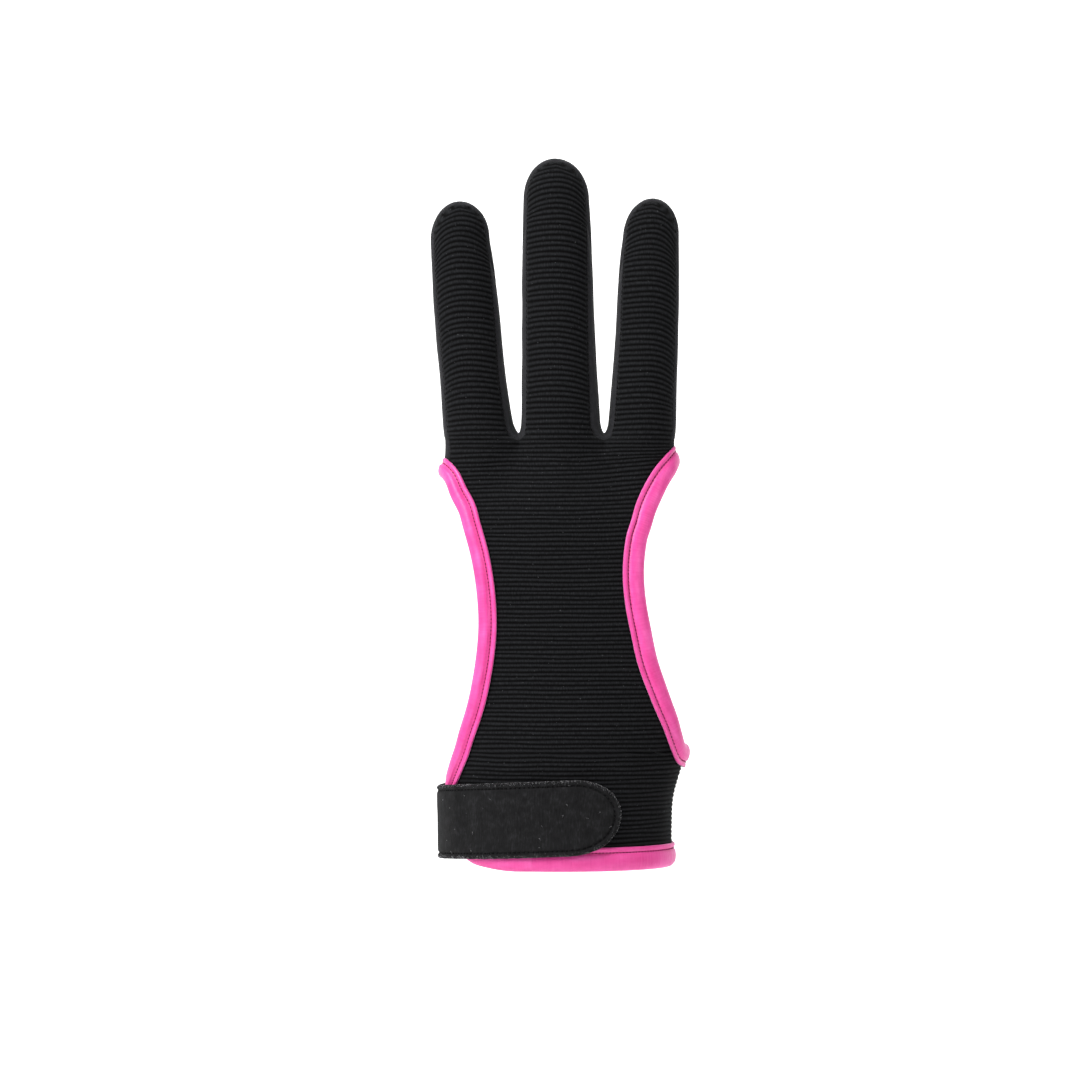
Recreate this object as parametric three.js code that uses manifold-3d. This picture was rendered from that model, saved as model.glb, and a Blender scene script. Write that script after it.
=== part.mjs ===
// A three-finger archery glove: a ribbed back and a smooth palm, strips between the fingers,
// folded tape round the openings of the thumb and the little finger and along the hem, and a
// hook-and-loop strap round the wrist. Millimetres. +Z runs from the wrist to the fingertips,
// the back of the hand faces -Y and the thumb side +X. The origin is the middle of the wrist
// opening, on the plane of the hem.

import * as THREE from 'three';
import Module from 'manifold-3d';

const wasm = await Module();
wasm.setup();

// Driving sizes of the hand that the glove is shaped on.
const FORK_HEIGHT = 116.8;
const FORK_GAP = 1.5;
const FORK_ROUND = 2.5;
const FORK_DIP = 2;
const WRIST_WIDTH = 60.4;
const WRIST_DEPTH = 42;
const PALM_WIDTH = 79.6;
const RING_WIDTH = 19.4;
const RING_LENGTH = 62.7;
const MIDDLE_WIDTH = 21.8;
const MIDDLE_LENGTH = 74.3;
const INDEX_WIDTH = 18.6;
const INDEX_LENGTH = 63.5;
const FINGER_DEPTH_SHARE = 0.93;
const FINGER_BEND = 3;
const MIDDLE_X = 0.3;
const BLEND_HEIGHT = 22;

// Driving sizes of the pieces.
const BACK_WALL = 1.2;
const PALM_WALL = 1.1;
const STRIP_WALL = 1;
const STRIP_RISE = 2;
const SEAM_GAP = 0.3;
const CLEARANCE = 0.3;
const HEM_EDGE = 1.5;
const WRIST_TURN = 14;
const THUMB_TAPE_WIDTH = 6.1;
const LITTLE_TAPE_WIDTH = 5.3;
const HEM_TAPE_WIDTH = 6.4;
const TAPE_FOLD = 1.5;
const TAPE_THICKNESS = 3.4;
const THUMB_OPENING_BOTTOM = 31;
const THUMB_OPENING_BELOW_FORK = 8.2;
const LITTLE_OPENING_BELOW_FORK = 10.6;
const STRAP_WIDTH = 20;
const STRAP_THICKNESS = 2.3;
const STRAP_LIFT = 0.5;
const STRAP_HEIGHT_AT_SIDE = 12;
const STRAP_HEIGHT_AT_TIP = 15;
const STRAP_TIP_LENGTH = 13.5;

// Angles, in degrees from the middle of the back unless a name says otherwise.
const TIP_SEAM = 63.26;
const SIDE_SEAM = 75;
const CUFF_SEAM = 104;
const STRIP_PALM_SEAM = 125;
const STRAP_START = -148;
const STRAP_TIP = 31;

// How the surfaces are divided.
const COLUMNS = 6;
const STRIP_COLUMNS = 3;
const STRIP_END = 0.905;
const STRIP_CLOSES = 0.92;
const STRIP_NARROWS = 0.55;
const VALLEY = 0.36;
const SHAFT_ROWS = [1, STRIP_END, 0.78, 0.64, 0.5, 0.37, 0.24, 0.12, 0];
const TIP_ROWS = [90, 74, 57, 39, 20];
const FORK_ROWS = [30, 60];
const BODY_ROWS = [1, 0.975, 0.945, 0.91, 0.87, 0.83, 0.78, 0.7, 0.62, 0.54, 0.46, 0.38, 0.3, 0.24, 0.18,
  0.09, 0];

const BACK = -1;
const PALM = 1;

// The fingers. 'at' is a share of the finger's length above the fork, 'width' a share of its
// width at the fork, and 'lean' a share of how far its tip leans sideways.
const FINGERS = {
  ring: {
    x: MIDDLE_X - (MIDDLE_WIDTH / 2 + FORK_GAP + RING_WIDTH / 2),
    width: RING_WIDTH,
    length: RING_LENGTH,
    lean: -5.2,
    tipLean: 0,
    tipLength: 10.2,
    left: { seam: 62.5, strip: false },
    right: { seam: 50, strip: true },
    rows: [
      { at: 0, width: 1, lean: 0 },
      { at: 0.23, width: 0.923, lean: 0.33 },
      { at: 0.4, width: 0.918, lean: 0.52 },
      { at: 0.57, width: 0.907, lean: 0.71 },
      { at: 0.74, width: 0.866, lean: 0.885 },
      { at: 0.84, width: 0.825, lean: 1 },
    ],
  },
  middle: {
    x: MIDDLE_X,
    width: MIDDLE_WIDTH,
    length: MIDDLE_LENGTH,
    lean: -1.3,
    tipLean: -0.2,
    tipLength: 11,
    left: { seam: 61, strip: true },
    right: { seam: 47, strip: true },
    rows: [
      { at: 0, width: 1, lean: 0 },
      { at: 0.23, width: 0.931, lean: 0.35 },
      { at: 0.4, width: 0.904, lean: 0.6 },
      { at: 0.57, width: 0.881, lean: 0.76 },
      { at: 0.74, width: 0.849, lean: 0.88 },
      { at: 0.85, width: 0.817, lean: 1 },
    ],
  },
  index: {
    x: MIDDLE_X + (MIDDLE_WIDTH / 2 + FORK_GAP + INDEX_WIDTH / 2),
    width: INDEX_WIDTH,
    length: INDEX_LENGTH,
    lean: 2.6,
    tipLean: 0.5,
    tipLength: 10.4,
    left: { seam: 56, strip: true },
    right: { seam: 63, strip: false },
    rows: [
      { at: 0, width: 1, lean: 0 },
      { at: 0.23, width: 0.946, lean: 0.31 },
      { at: 0.4, width: 0.914, lean: 0.54 },
      { at: 0.57, width: 0.903, lean: 0.69 },
      { at: 0.74, width: 0.86, lean: 0.85 },
      { at: 0.84, width: 0.817, lean: 1 },
    ],
  },
};

// The hand below the fork. 'at' is a share of the fork's height, 'width' the share of the way
// from the wrist's width to the palm's, 'back' and 'palm' shares of half the wrist's depth.
const HAND_ROWS = [
  { at: 0, width: 0, back: 1, palm: 1 },
  { at: 0.09, width: 0, back: 1, palm: 1 },
  { at: 0.156, width: 0.04, back: 1, palm: 1 },
  { at: 0.208, width: 0.2, back: 0.976, palm: 1 },
  { at: 0.268, width: 0.43, back: 0.95, palm: 0.985 },
  { at: 0.336, width: 0.625, back: 0.91, palm: 0.965 },
  { at: 0.413, width: 0.79, back: 0.857, palm: 0.929 },
  { at: 0.516, width: 0.92, back: 0.815, palm: 0.89 },
  { at: 0.627, width: 1, back: 0.776, palm: 0.857 },
  { at: 0.756, width: 0.94, back: 0.72, palm: 0.8 },
  { at: 0.841, width: 0.79, back: 0.667, palm: 0.738 },
  { at: 0.91, width: 0.52, back: 0.61, palm: 0.667 },
  { at: 0.944, width: 0.354, back: 0.571, palm: 0.619 },
  { at: 1, width: 0.156, back: 0.524, palm: 0.548 },
];

// The cut edges of the two openings. 'at' is a share of the opening's height, 'back' the angle
// of its edge from the middle of the back, 'palm' that from the middle of the palm.
const LITTLE_EDGE = [
  { at: 0, back: 28, palm: 28 },
  { at: 0.008, back: 43, palm: 43 },
  { at: 0.017, back: 52, palm: 52 },
  { at: 0.053, back: 66.5, palm: 66.5 },
  { at: 0.091, back: 72, palm: 72 },
  { at: 0.139, back: 74, palm: 74 },
  { at: 0.203, back: 71, palm: 71 },
  { at: 0.25, back: 60, palm: 60 },
  { at: 0.289, back: 52.3, palm: 52.3 },
  { at: 0.329, back: 47.3, palm: 47.3 },
  { at: 0.405, back: 39.5, palm: 39.5 },
  { at: 0.481, back: 35, palm: 35 },
  { at: 0.558, back: 32.3, palm: 32.3 },
  { at: 0.626, back: 31.3, palm: 31.3 },
  { at: 0.711, back: 32.3, palm: 32.3 },
  { at: 0.787, back: 35, palm: 35 },
  { at: 0.863, back: 39.8, palm: 39.8 },
  { at: 0.902, back: 44, palm: 44 },
  { at: 0.94, back: 54.3, palm: 54.3 },
  { at: 0.978, back: 66, palm: 66 },
  { at: 1, back: 79, palm: 79 },
];
const THUMB_EDGE = [
  { at: 0, back: 90, palm: 76 },
  { at: 0.006, back: 82, palm: 74.5 },
  { at: 0.016, back: 72, palm: 72 },
  { at: 0.06, back: 63.8, palm: 63.8 },
  { at: 0.112, back: 57.5, palm: 57.5 },
  { at: 0.165, back: 51.5, palm: 51.5 },
  { at: 0.217, back: 46.8, palm: 46.8 },
  { at: 0.32, back: 39.8, palm: 39.8 },
  { at: 0.423, back: 35.8, palm: 35.8 },
  { at: 0.526, back: 32.8, palm: 32.8 },
  { at: 0.629, back: 32, palm: 32 },
  { at: 0.73, back: 33.8, palm: 33.8 },
  { at: 0.783, back: 36.5, palm: 36.5 },
  { at: 0.834, back: 40.3, palm: 40.3 },
  { at: 0.886, back: 49, palm: 49 },
  { at: 0.937, back: 60.8, palm: 60.8 },
  { at: 0.98, back: 73, palm: 73 },
  { at: 1, back: 82, palm: 82 },
];

const SHAFT_BOTTOM = FORK_HEIGHT + FORK_ROUND;
const BODY_TOP = FORK_HEIGHT - FORK_DIP;
const LITTLE_OPENING_TOP = FORK_HEIGHT - LITTLE_OPENING_BELOW_FORK;
const THUMB_OPENING_TOP = FORK_HEIGHT - THUMB_OPENING_BELOW_FORK;

const mix = THREE.MathUtils.lerp;
const clamp = THREE.MathUtils.clamp;
const radians = THREE.MathUtils.degToRad;

function smooth(value) {
  const t = clamp(value, 0, 1);
  return t * t * (3 - 2 * t);
}

// A column of a table at a place between its rows, on a smooth curve that runs on straight.
function along(rows, column, at) {
  const last = rows.length - 1;
  let low = 0;
  while (low < last - 1 && at > rows[low + 1].at) low += 1;
  const slopeAt = (i) => {
    const before = rows[Math.max(i - 1, 0)];
    const after = rows[Math.min(i + 1, last)];
    return (after[column] - before[column]) / (after.at - before.at);
  };
  const [a, b] = [rows[low], rows[low + 1]];
  const span = b.at - a.at;
  const t = (at - a.at) / span;
  if (t < 0) return a[column] + slopeAt(low) * (at - a.at);
  if (t > 1) return b[column] + slopeAt(low + 1) * (at - b.at);
  const bend = smooth(t);
  const rise = t * (1 - t) * (1 - t) * slopeAt(low) - t * t * (1 - t) * slopeAt(low + 1);
  return mix(a[column], b[column], bend) + rise * span;
}

// The centre and the half sizes of a finger at a height.
function fingerSection(finger, height) {
  const share = (height - FORK_HEIGHT) / finger.length;
  const halfWidth = finger.width / 2 * along(finger.rows, 'width', share);
  return {
    x: finger.x + finger.lean * along(finger.rows, 'lean', share),
    y: FINGER_BEND * Math.max(share, 0) ** 2,
    halfWidth,
    halfDepth: halfWidth * FINGER_DEPTH_SHARE,
  };
}

function tipCentreHeight(finger) {
  return FORK_HEIGHT + finger.length - finger.tipLength;
}

function shaftShare(finger, height) {
  return clamp((height - SHAFT_BOTTOM) / (tipCentreHeight(finger) - SHAFT_BOTTOM), 0, 1);
}

// The angle of a finger's seam from the middle of the back, at a share of its shaft.
function backSeam(edge, share) {
  return mix(edge.seam, TIP_SEAM, share);
}

// The same for the palm's seam, which the strip between two fingers keeps away from the back's.
function palmSeam(edge, share) {
  if (!edge.strip) return backSeam(edge, share);
  const closing = smooth((share - STRIP_NARROWS) / (STRIP_CLOSES - STRIP_NARROWS));
  return mix(STRIP_PALM_SEAM, backSeam(edge, share), closing);
}

// The left and right ends of a panel on a finger, in degrees from the panel's own middle.
function fingerSpan(finger, side, share) {
  if (side === BACK) return [-backSeam(finger.left, share), backSeam(finger.right, share)];
  return [palmSeam(finger.left, share) - 180, 180 - palmSeam(finger.right, share)];
}

// A point on the straight part of a finger.
function shaftPoint(finger, side, height, angle) {
  const section = fingerSection(finger, height);
  const turn = radians(angle);
  return new THREE.Vector3(
    section.x + section.halfWidth * Math.sin(turn),
    section.y + side * section.halfDepth * Math.cos(turn),
    height,
  );
}

// A point on the round tip. The seam runs over it in one plane, and the rings lean to its top.
function tipPoint(finger, side, ring, share) {
  const section = fingerSection(finger, tipCentreHeight(finger));
  const seamDepth = Math.cos(radians(TIP_SEAM));
  const lean = Math.asin(seamDepth) * ring / 90;
  const lift = Math.sin(radians(ring));
  const radius = Math.cos(radians(ring));
  let seam = Math.PI / 2;
  if (radius > 1e-6) {
    seam = Math.acos(clamp((seamDepth - lift * Math.sin(lean)) / (radius * Math.cos(lean)), -1, 1));
  }
  const end = side === BACK ? seam : Math.PI - seam;
  const turn = mix(-end, end, share);
  const across = radius * side * Math.cos(turn);
  const up = Math.cos(lean) * lift + Math.sin(lean) * across;
  const out = Math.cos(lean) * across - Math.sin(lean) * lift;
  return new THREE.Vector3(
    section.x + section.halfWidth * radius * Math.sin(turn) + finger.tipLean * up,
    section.y + section.halfDepth * out,
    tipCentreHeight(finger) + finger.tipLength * up,
  );
}

const FORKS = [
  { left: FINGERS.ring, right: FINGERS.middle },
  { left: FINGERS.middle, right: FINGERS.index },
];

// Where two neighbouring fingers meet, at a height near the fork, on one side of the hand.
function forkPoint(fork, side, height) {
  const left = fingerSection(fork.left, height);
  const right = fingerSection(fork.right, height);
  const leftSeam = shaftPoint(fork.left, side, height, fingerSpan(fork.left, side, 0)[1]);
  const rightSeam = shaftPoint(fork.right, side, height, fingerSpan(fork.right, side, 0)[0]);
  const x = (left.x + left.halfWidth + right.x - right.halfWidth) / 2;
  return new THREE.Vector3(x, (leftSeam.y + rightSeam.y) / 2, height);
}

// A point on a finger's panel at a share of its span. 'pull' draws its inner edges to the fork.
function fingerPoint(finger, side, height, share, pull) {
  const [left, right] = fingerSpan(finger, side, shaftShare(finger, height));
  const point = shaftPoint(finger, side, height, mix(left, right, share));
  for (const fork of FORKS) {
    const atLeft = fork.right === finger;
    if (!atLeft && fork.left !== finger) continue;
    const edge = shaftPoint(finger, side, height, atLeft ? left : right);
    const shift = forkPoint(fork, side, height).sub(edge);
    point.addScaledVector(shift, pull * (atLeft ? 1 - share : share));
  }
  return point;
}

// The angle of the seam between back and palm, from the middle of the back.
function sideSeam(height, onThumbSide) {
  if (!onThumbSide) return SIDE_SEAM;
  const rise = (height - THUMB_OPENING_BOTTOM) / (THUMB_OPENING_TOP - THUMB_OPENING_BOTTOM);
  return mix(CUFF_SEAM, SIDE_SEAM, clamp(rise, 0, 1));
}

function panelEnd(side, height, onThumbSide) {
  const seam = sideSeam(height, onThumbSide);
  return side === BACK ? seam : 180 - seam;
}

// A point on the plain round of the hand, at an angle from the middle of the back or palm.
function handPoint(side, height, angle) {
  const share = height / FORK_HEIGHT;
  const width = mix(WRIST_WIDTH, PALM_WIDTH, along(HAND_ROWS, 'width', share)) / 2;
  const turn = radians(angle);
  const facing = side * Math.cos(turn);
  const column = facing < 0 ? 'back' : 'palm';
  const depth = WRIST_DEPTH / 2 * along(HAND_ROWS, column, share);
  return new THREE.Vector3(width * Math.sin(turn), depth * facing, height);
}

// A point on a panel below the fork, at a place from -1 at its left seam to 1 at its right one.
// Just under the fork it has the fingers' rounds, which fade into the hand's.
function bodyPoint(side, height, place) {
  const plain = handPoint(side, height, place * panelEnd(side, height, place > 0));
  const fade = smooth((BODY_TOP - height) / BLEND_HEIGHT);
  if (fade === 1) return plain;
  let finger = FINGERS.middle;
  let share = (place + VALLEY) / (2 * VALLEY);
  if (place < -VALLEY) {
    finger = FINGERS.ring;
    share = (place + 1) / (1 - VALLEY);
  } else if (place > VALLEY) {
    finger = FINGERS.index;
    share = (place - VALLEY) / (1 - VALLEY);
  }
  return fingerPoint(finger, side, height, share, 1).lerp(plain, fade);
}

// A point of the glove's form at an angle from the middle of a side. Past the seam it is on the
// other side.
function formPoint(side, height, angle) {
  const end = panelEnd(side, height, angle > 0);
  if (Math.abs(angle) <= end) return bodyPoint(side, height, angle / end);
  const rest = Math.sign(angle) * (180 - Math.abs(angle));
  return bodyPoint(-side, height, rest / panelEnd(-side, height, angle > 0));
}

// A sheet is a surface of rows of points. Points with the same name are one point, and two
// sheets that meet along a seam give its points the same names.
class Sheet {
  constructor() {
    this.names = [];
    this.points = [];
    this.numbers = new Map();
    this.triangles = [];
  }

  point(name, place) {
    if (!this.numbers.has(name)) {
      this.numbers.set(name, this.points.length);
      this.names.push(name);
      this.points.push(place);
    }
    return this.numbers.get(name);
  }

  // Joins two rows of points. Seen from outside, the first is above and both run to the right.
  join(upper, lower, flip = false) {
    for (let i = 0; i + 1 < upper.length; i += 1) {
      const [a, b, c, d] = [upper[i], upper[i + 1], lower[i], lower[i + 1]];
      for (const corners of [[a, c, d], [a, d, b]]) {
        if (new Set(corners).size < 3) continue;
        this.triangles.push(flip ? corners.reverse() : corners);
      }
    }
  }

  joinAll(rows, flip = false) {
    for (let i = 0; i + 1 < rows.length; i += 1) this.join(rows[i], rows[i + 1], flip);
  }

  normals() {
    const sums = this.points.map(() => new THREE.Vector3());
    for (const corners of this.triangles) {
      const [a, b, c] = corners.map((i) => this.points[i]);
      const face = b.clone().sub(a).cross(c.clone().sub(a)).normalize();
      corners.forEach((corner, i) => {
        const one = this.points[corners[(i + 1) % 3]].clone().sub(this.points[corner]);
        const two = this.points[corners[(i + 2) % 3]].clone().sub(this.points[corner]);
        sums[corner].addScaledVector(face, one.angleTo(two));
      });
    }
    return sums.map((sum) => sum.normalize());
  }

  // The directed edges that only one triangle has, as pairs of point numbers.
  rim() {
    const edges = new Set();
    for (const [a, b, c] of this.triangles) {
      for (const [from, to] of [[a, b], [b, c], [c, a]]) edges.add(`${from} ${to}`);
    }
    const alone = [...edges].filter((edge) => !edges.has(edge.split(' ').reverse().join(' ')));
    return alone.map((edge) => edge.split(' ').map(Number));
  }
}

const LEAST_MITRE = 0.62;

// The solid between two offsets of a sheet. 'inset' draws its rim back into the sheet, and at
// the seams with other sheets its corners are mitred against theirs.
function thicken(sheet, { outside, inside, inset = 0, meets = [] }) {
  const own = sheet.normals();
  const shared = meets.map((other) => ({ other, normals: other.normals() }));
  const rim = sheet.rim();
  const pulls = sheet.points.map(() => new THREE.Vector3());
  for (const [from, to] of rim) {
    const run = sheet.points[to].clone().sub(sheet.points[from]).normalize();
    for (const i of [from, to]) pulls[i].add(own[i].clone().cross(run));
  }
  const outer = [];
  const inner = [];
  sheet.points.forEach((point, i) => {
    const base = point.clone();
    if (pulls[i].lengthSq() > 0) base.addScaledVector(pulls[i].normalize(), inset);
    const mitre = own[i].clone();
    for (const { other, normals } of shared) {
      const match = other.numbers.get(sheet.names[i]);
      if (match !== undefined) mitre.add(normals[match]);
    }
    mitre.normalize();
    const stretch = 1 / Math.max(mitre.dot(own[i]), LEAST_MITRE);
    outer.push(base.clone().addScaledVector(mitre, outside * stretch));
    inner.push(base.addScaledVector(mitre, -inside * stretch));
  });
  const count = outer.length;
  const triangles = [];
  for (const [a, b, c] of sheet.triangles) {
    triangles.push([a, b, c], [a + count, c + count, b + count]);
  }
  for (const [from, to] of rim) {
    triangles.push([to, from, from + count], [to, from + count, to + count]);
  }
  return solidOf([...outer, ...inner], triangles);
}

function solidOf(points, triangles) {
  return new wasm.Manifold(new wasm.Mesh({
    numProp: 3,
    vertProperties: Float32Array.from(points.flatMap((point) => point.toArray())),
    triVerts: Uint32Array.from(triangles.flat()),
  }));
}

const SIDE_NAMES = { [BACK]: 'back', [PALM]: 'palm' };

// The name of a point on a finger's seam. Where no strip parts them, back and palm share it.
function seamName(fingerName, edgeName, side, row, parted) {
  const panel = parted ? SIDE_NAMES[side] : 'both';
  return `${fingerName} ${edgeName} ${panel} ${row}`;
}

// The rows of points of one finger's panel, from the tip down to the fork.
function fingerRows(sheet, side, fingerName) {
  const finger = FINGERS[fingerName];
  const addRow = (row, parted, place) => {
    const numbers = [];
    for (let i = 0; i <= COLUMNS; i += 1) {
      let name = `${SIDE_NAMES[side]} ${fingerName} ${row} ${i}`;
      if (i === 0) name = seamName(fingerName, 'left', side, row, parted && finger.left.strip);
      if (i === COLUMNS) name = seamName(fingerName, 'right', side, row, parted && finger.right.strip);
      if (row === `tip ${TIP_ROWS[0]}`) name = `${fingerName} top`;
      numbers.push(sheet.point(name, place(i / COLUMNS)));
    }
    return numbers;
  };
  const rows = TIP_ROWS.map((ring) => addRow(`tip ${ring}`, false, (t) => tipPoint(finger, side, ring, t)));
  for (const share of SHAFT_ROWS) {
    const height = mix(SHAFT_BOTTOM, tipCentreHeight(finger), share);
    const place = (t) => fingerPoint(finger, side, height, t, 0);
    rows.push(addRow(`shaft ${share}`, share < STRIP_CLOSES, place));
  }
  for (const turn of FORK_ROWS) {
    const height = mix(SHAFT_BOTTOM, BODY_TOP, Math.sin(radians(turn)));
    const pull = 1 - Math.cos(radians(turn));
    rows.push(addRow(`fork ${turn}`, true, (t) => fingerPoint(finger, side, height, t, pull)));
  }
  return rows;
}

// The whole sheet of the back or the palm: the hand's part and three fingers.
function panelSheet(side) {
  const sheet = new Sheet();
  const flip = side === PALM;
  const places = [];
  for (const [from, to] of [[-1, -VALLEY], [-VALLEY, VALLEY], [VALLEY, 1]]) {
    for (let i = 0; i < COLUMNS; i += 1) places.push(mix(from, to, i / COLUMNS));
  }
  places.push(1);
  const rows = BODY_ROWS.map((share) => {
    const height = mix(HEM_EDGE, BODY_TOP, share);
    return places.map((place) => {
      let name = `${SIDE_NAMES[side]} body ${share} ${place}`;
      if (Math.abs(place) === 1) name = `side ${share} ${place}`;
      if (share === 1 && Math.abs(place) === VALLEY) name = forkName(place < 0 ? 0 : 1, side);
      return sheet.point(name, bodyPoint(side, height, place));
    });
  });
  sheet.joinAll(rows, flip);
  Object.keys(FINGERS).forEach((fingerName, i) => {
    const fingerRowsDown = fingerRows(sheet, side, fingerName);
    fingerRowsDown.push(rows[0].slice(i * COLUMNS, (i + 1) * COLUMNS + 1));
    sheet.joinAll(fingerRowsDown, flip);
  });
  return sheet;
}

function forkName(number, side) {
  return `fork ${number} ${SIDE_NAMES[side]}`;
}

// The strip between two fingers: down the side of one, round the fork and up the other.
function stripSheet(number) {
  const fork = FORKS[number];
  const sheet = new Sheet();
  const nameOf = (finger) => Object.keys(FINGERS).find((key) => FINGERS[key] === finger);
  const addRow = (finger, edgeName, row, height, pull) => {
    const numbers = [];
    const share = shaftShare(finger, height);
    const sign = edgeName === 'right' ? 1 : -1;
    const edge = finger[edgeName];
    for (let i = 0; i <= STRIP_COLUMNS; i += 1) {
      const t = i / STRIP_COLUMNS;
      const angle = mix(backSeam(edge, share), palmSeam(edge, share), t);
      const point = shaftPoint(finger, BACK, height, sign * angle);
      const back = forkPoint(fork, BACK, height);
      const palm = forkPoint(fork, PALM, height);
      point.lerp(back.lerp(palm, t), pull);
      let name = `strip ${nameOf(finger)} ${row} ${i}`;
      if (i === 0) name = seamName(nameOf(finger), edgeName, BACK, row, true);
      if (i === STRIP_COLUMNS) name = seamName(nameOf(finger), edgeName, PALM, row, true);
      numbers.push(sheet.point(name, point));
    }
    return numbers;
  };
  const sideRows = (finger, edgeName) => {
    const rows = [];
    for (const share of SHAFT_ROWS.filter((value) => value <= STRIP_END)) {
      const height = mix(SHAFT_BOTTOM, tipCentreHeight(finger), share);
      rows.push(addRow(finger, edgeName, `shaft ${share}`, height, 0));
    }
    for (const turn of FORK_ROWS) {
      const height = mix(SHAFT_BOTTOM, BODY_TOP, Math.sin(radians(turn)));
      rows.push(addRow(finger, edgeName, `fork ${turn}`, height, 1 - Math.cos(radians(turn))));
    }
    return rows;
  };
  const bottom = [];
  for (let i = 0; i <= STRIP_COLUMNS; i += 1) {
    const t = i / STRIP_COLUMNS;
    const place = forkPoint(fork, BACK, BODY_TOP).lerp(forkPoint(fork, PALM, BODY_TOP), t);
    place.z += STRIP_RISE * 4 * t * (1 - t);
    let name = `bottom ${i}`;
    if (i === 0) name = forkName(number, BACK);
    if (i === STRIP_COLUMNS) name = forkName(number, PALM);
    bottom.push(sheet.point(name, place));
  }
  const rows = [...sideRows(fork.left, 'right'), bottom, ...sideRows(fork.right, 'left').reverse()];
  sheet.joinAll(rows);
  return sheet;
}

const OPENINGS = {
  little: { rows: LITTLE_EDGE, bottom: HEM_EDGE, top: LITTLE_OPENING_TOP, sign: -1 },
  thumb: { rows: THUMB_EDGE, bottom: THUMB_OPENING_BOTTOM, top: THUMB_OPENING_TOP, sign: 1 },
};
const OPENING_COLUMNS = 6;
const CUTTER_REACH = 4;

// The part of the form that an opening takes away, thick enough to cut both panels.
function openingCutter(opening, inset) {
  const { rows, bottom, top, sign } = opening;
  const sheet = new Sheet();
  const addRow = (height, back, palm) => {
    const numbers = [];
    for (let i = 0; i <= OPENING_COLUMNS; i += 1) {
      const angle = mix(back, 180 - palm, i / OPENING_COLUMNS);
      numbers.push(sheet.point(`${height} ${i}`, formPoint(BACK, height, sign * angle)));
    }
    return numbers;
  };
  const numbers = rows.map((row) => addRow(mix(bottom, top, row.at), row.back, row.palm));
  if (bottom === HEM_EDGE) numbers.unshift(addRow(bottom - CUTTER_REACH, rows[0].back, rows[0].palm));
  sheet.joinAll(numbers.reverse(), sign < 0);
  return thicken(sheet, { outside: CUTTER_REACH, inside: CUTTER_REACH, inset });
}

// A direction out of the form at a point's height and angle.
function formNormal(side, height, angle) {
  const step = 0.5;
  const across = formPoint(side, height, angle + step).sub(formPoint(side, height, angle - step));
  const up = formPoint(side, height + step, angle).sub(formPoint(side, height - step, angle));
  return up.cross(across).multiplyScalar(side).normalize();
}

// The stations of a tape round a closed edge: places on the form and directions out of it.
function tapeLine(stops, count) {
  const places = new THREE.CatmullRomCurve3(stops.map((stop) => stop.place), true, 'centripetal');
  const normals = stops.map((stop) => stop.normal);
  const lengths = places.getLengths(800);
  const stations = [];
  const total = lengths[lengths.length - 1];
  for (let i = 0; i < count; i += 1) {
    const t = places.getUtoTmapping(0, total * i / count);
    const place = places.getPoint(t);
    const at = t * stops.length;
    const low = Math.floor(at) % stops.length;
    const normal = normals[low].clone().lerp(normals[(low + 1) % stops.length], at - Math.floor(at));
    const run = places.getTangent(t);
    normal.addScaledVector(run, -normal.dot(run)).normalize();
    stations.push({ place, normal, run });
  }
  return stations;
}

const TAPE_CORNER = 0.9;

// The section of a folded tape: how far each corner lies inside the cloth's edge and above the
// middle of its wall.
function tapeSection(width, grow) {
  const low = -TAPE_FOLD - grow;
  const high = width - TAPE_FOLD + grow;
  const half = TAPE_THICKNESS / 2 + grow;
  return [
    [low, -half + TAPE_CORNER],
    [low + TAPE_CORNER, -half],
    [high - TAPE_CORNER, -half],
    [high, -half + TAPE_CORNER],
    [high, half - TAPE_CORNER],
    [high - TAPE_CORNER, half],
    [low + TAPE_CORNER, half],
    [low, half - TAPE_CORNER],
  ];
}

// A folded tape swept round a closed edge. Its fold stands past the edge of the cloth.
function tapeSolid(stations, widthAt, grow) {
  const sides = tapeSection(0, 0).length;
  const points = [];
  for (const { place, normal, run } of stations) {
    const inward = normal.clone().cross(run);
    for (const [across, up] of tapeSection(widthAt(place), grow)) {
      const point = place.clone().addScaledVector(inward, across);
      points.push(point.addScaledVector(normal, up - BACK_WALL / 2));
    }
  }
  const triangles = [];
  stations.forEach((_, i) => {
    const next = (i + 1) % stations.length;
    for (let j = 0; j < sides; j += 1) {
      const after = (j + 1) % sides;
      const [a, b, c, d] = [i * sides + j, i * sides + after, next * sides + j, next * sides + after];
      triangles.push([a, b, d], [a, d, c]);
    }
  });
  return solidOf(points, triangles);
}

function thumbTapeWidth() {
  return THUMB_TAPE_WIDTH;
}

// The tape along the little finger's opening is narrower than along the hem.
function edgeTapeWidth(place) {
  return mix(HEM_TAPE_WIDTH, LITTLE_TAPE_WIDTH, smooth((place.z - HEM_EDGE) / WRIST_TURN));
}

function stop(side, height, angle) {
  return { place: formPoint(side, height, angle), normal: formNormal(side, height, angle) };
}

function edgeStops(opening, side) {
  const { rows, bottom, top, sign } = opening;
  return rows.map((row) => stop(side, mix(bottom, top, row.at), sign * row[SIDE_NAMES[side]]));
}

// The stops across an opening's top or bottom, between its back and palm edges.
function crossStops(opening, row, height) {
  const stops = [];
  for (const t of [0.33, 0.67]) {
    stops.push(stop(BACK, height, opening.sign * mix(row.back, 180 - row.palm, t)));
  }
  return stops;
}

function thumbStops() {
  const opening = OPENINGS.thumb;
  const up = edgeStops(opening, BACK);
  const over = crossStops(opening, opening.rows[opening.rows.length - 1], opening.top);
  const down = edgeStops(opening, PALM).reverse();
  const under = crossStops(opening, opening.rows[0], opening.bottom).reverse();
  return [...up, ...over, ...down, ...under];
}

const HEM_STEP = 14;

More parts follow.
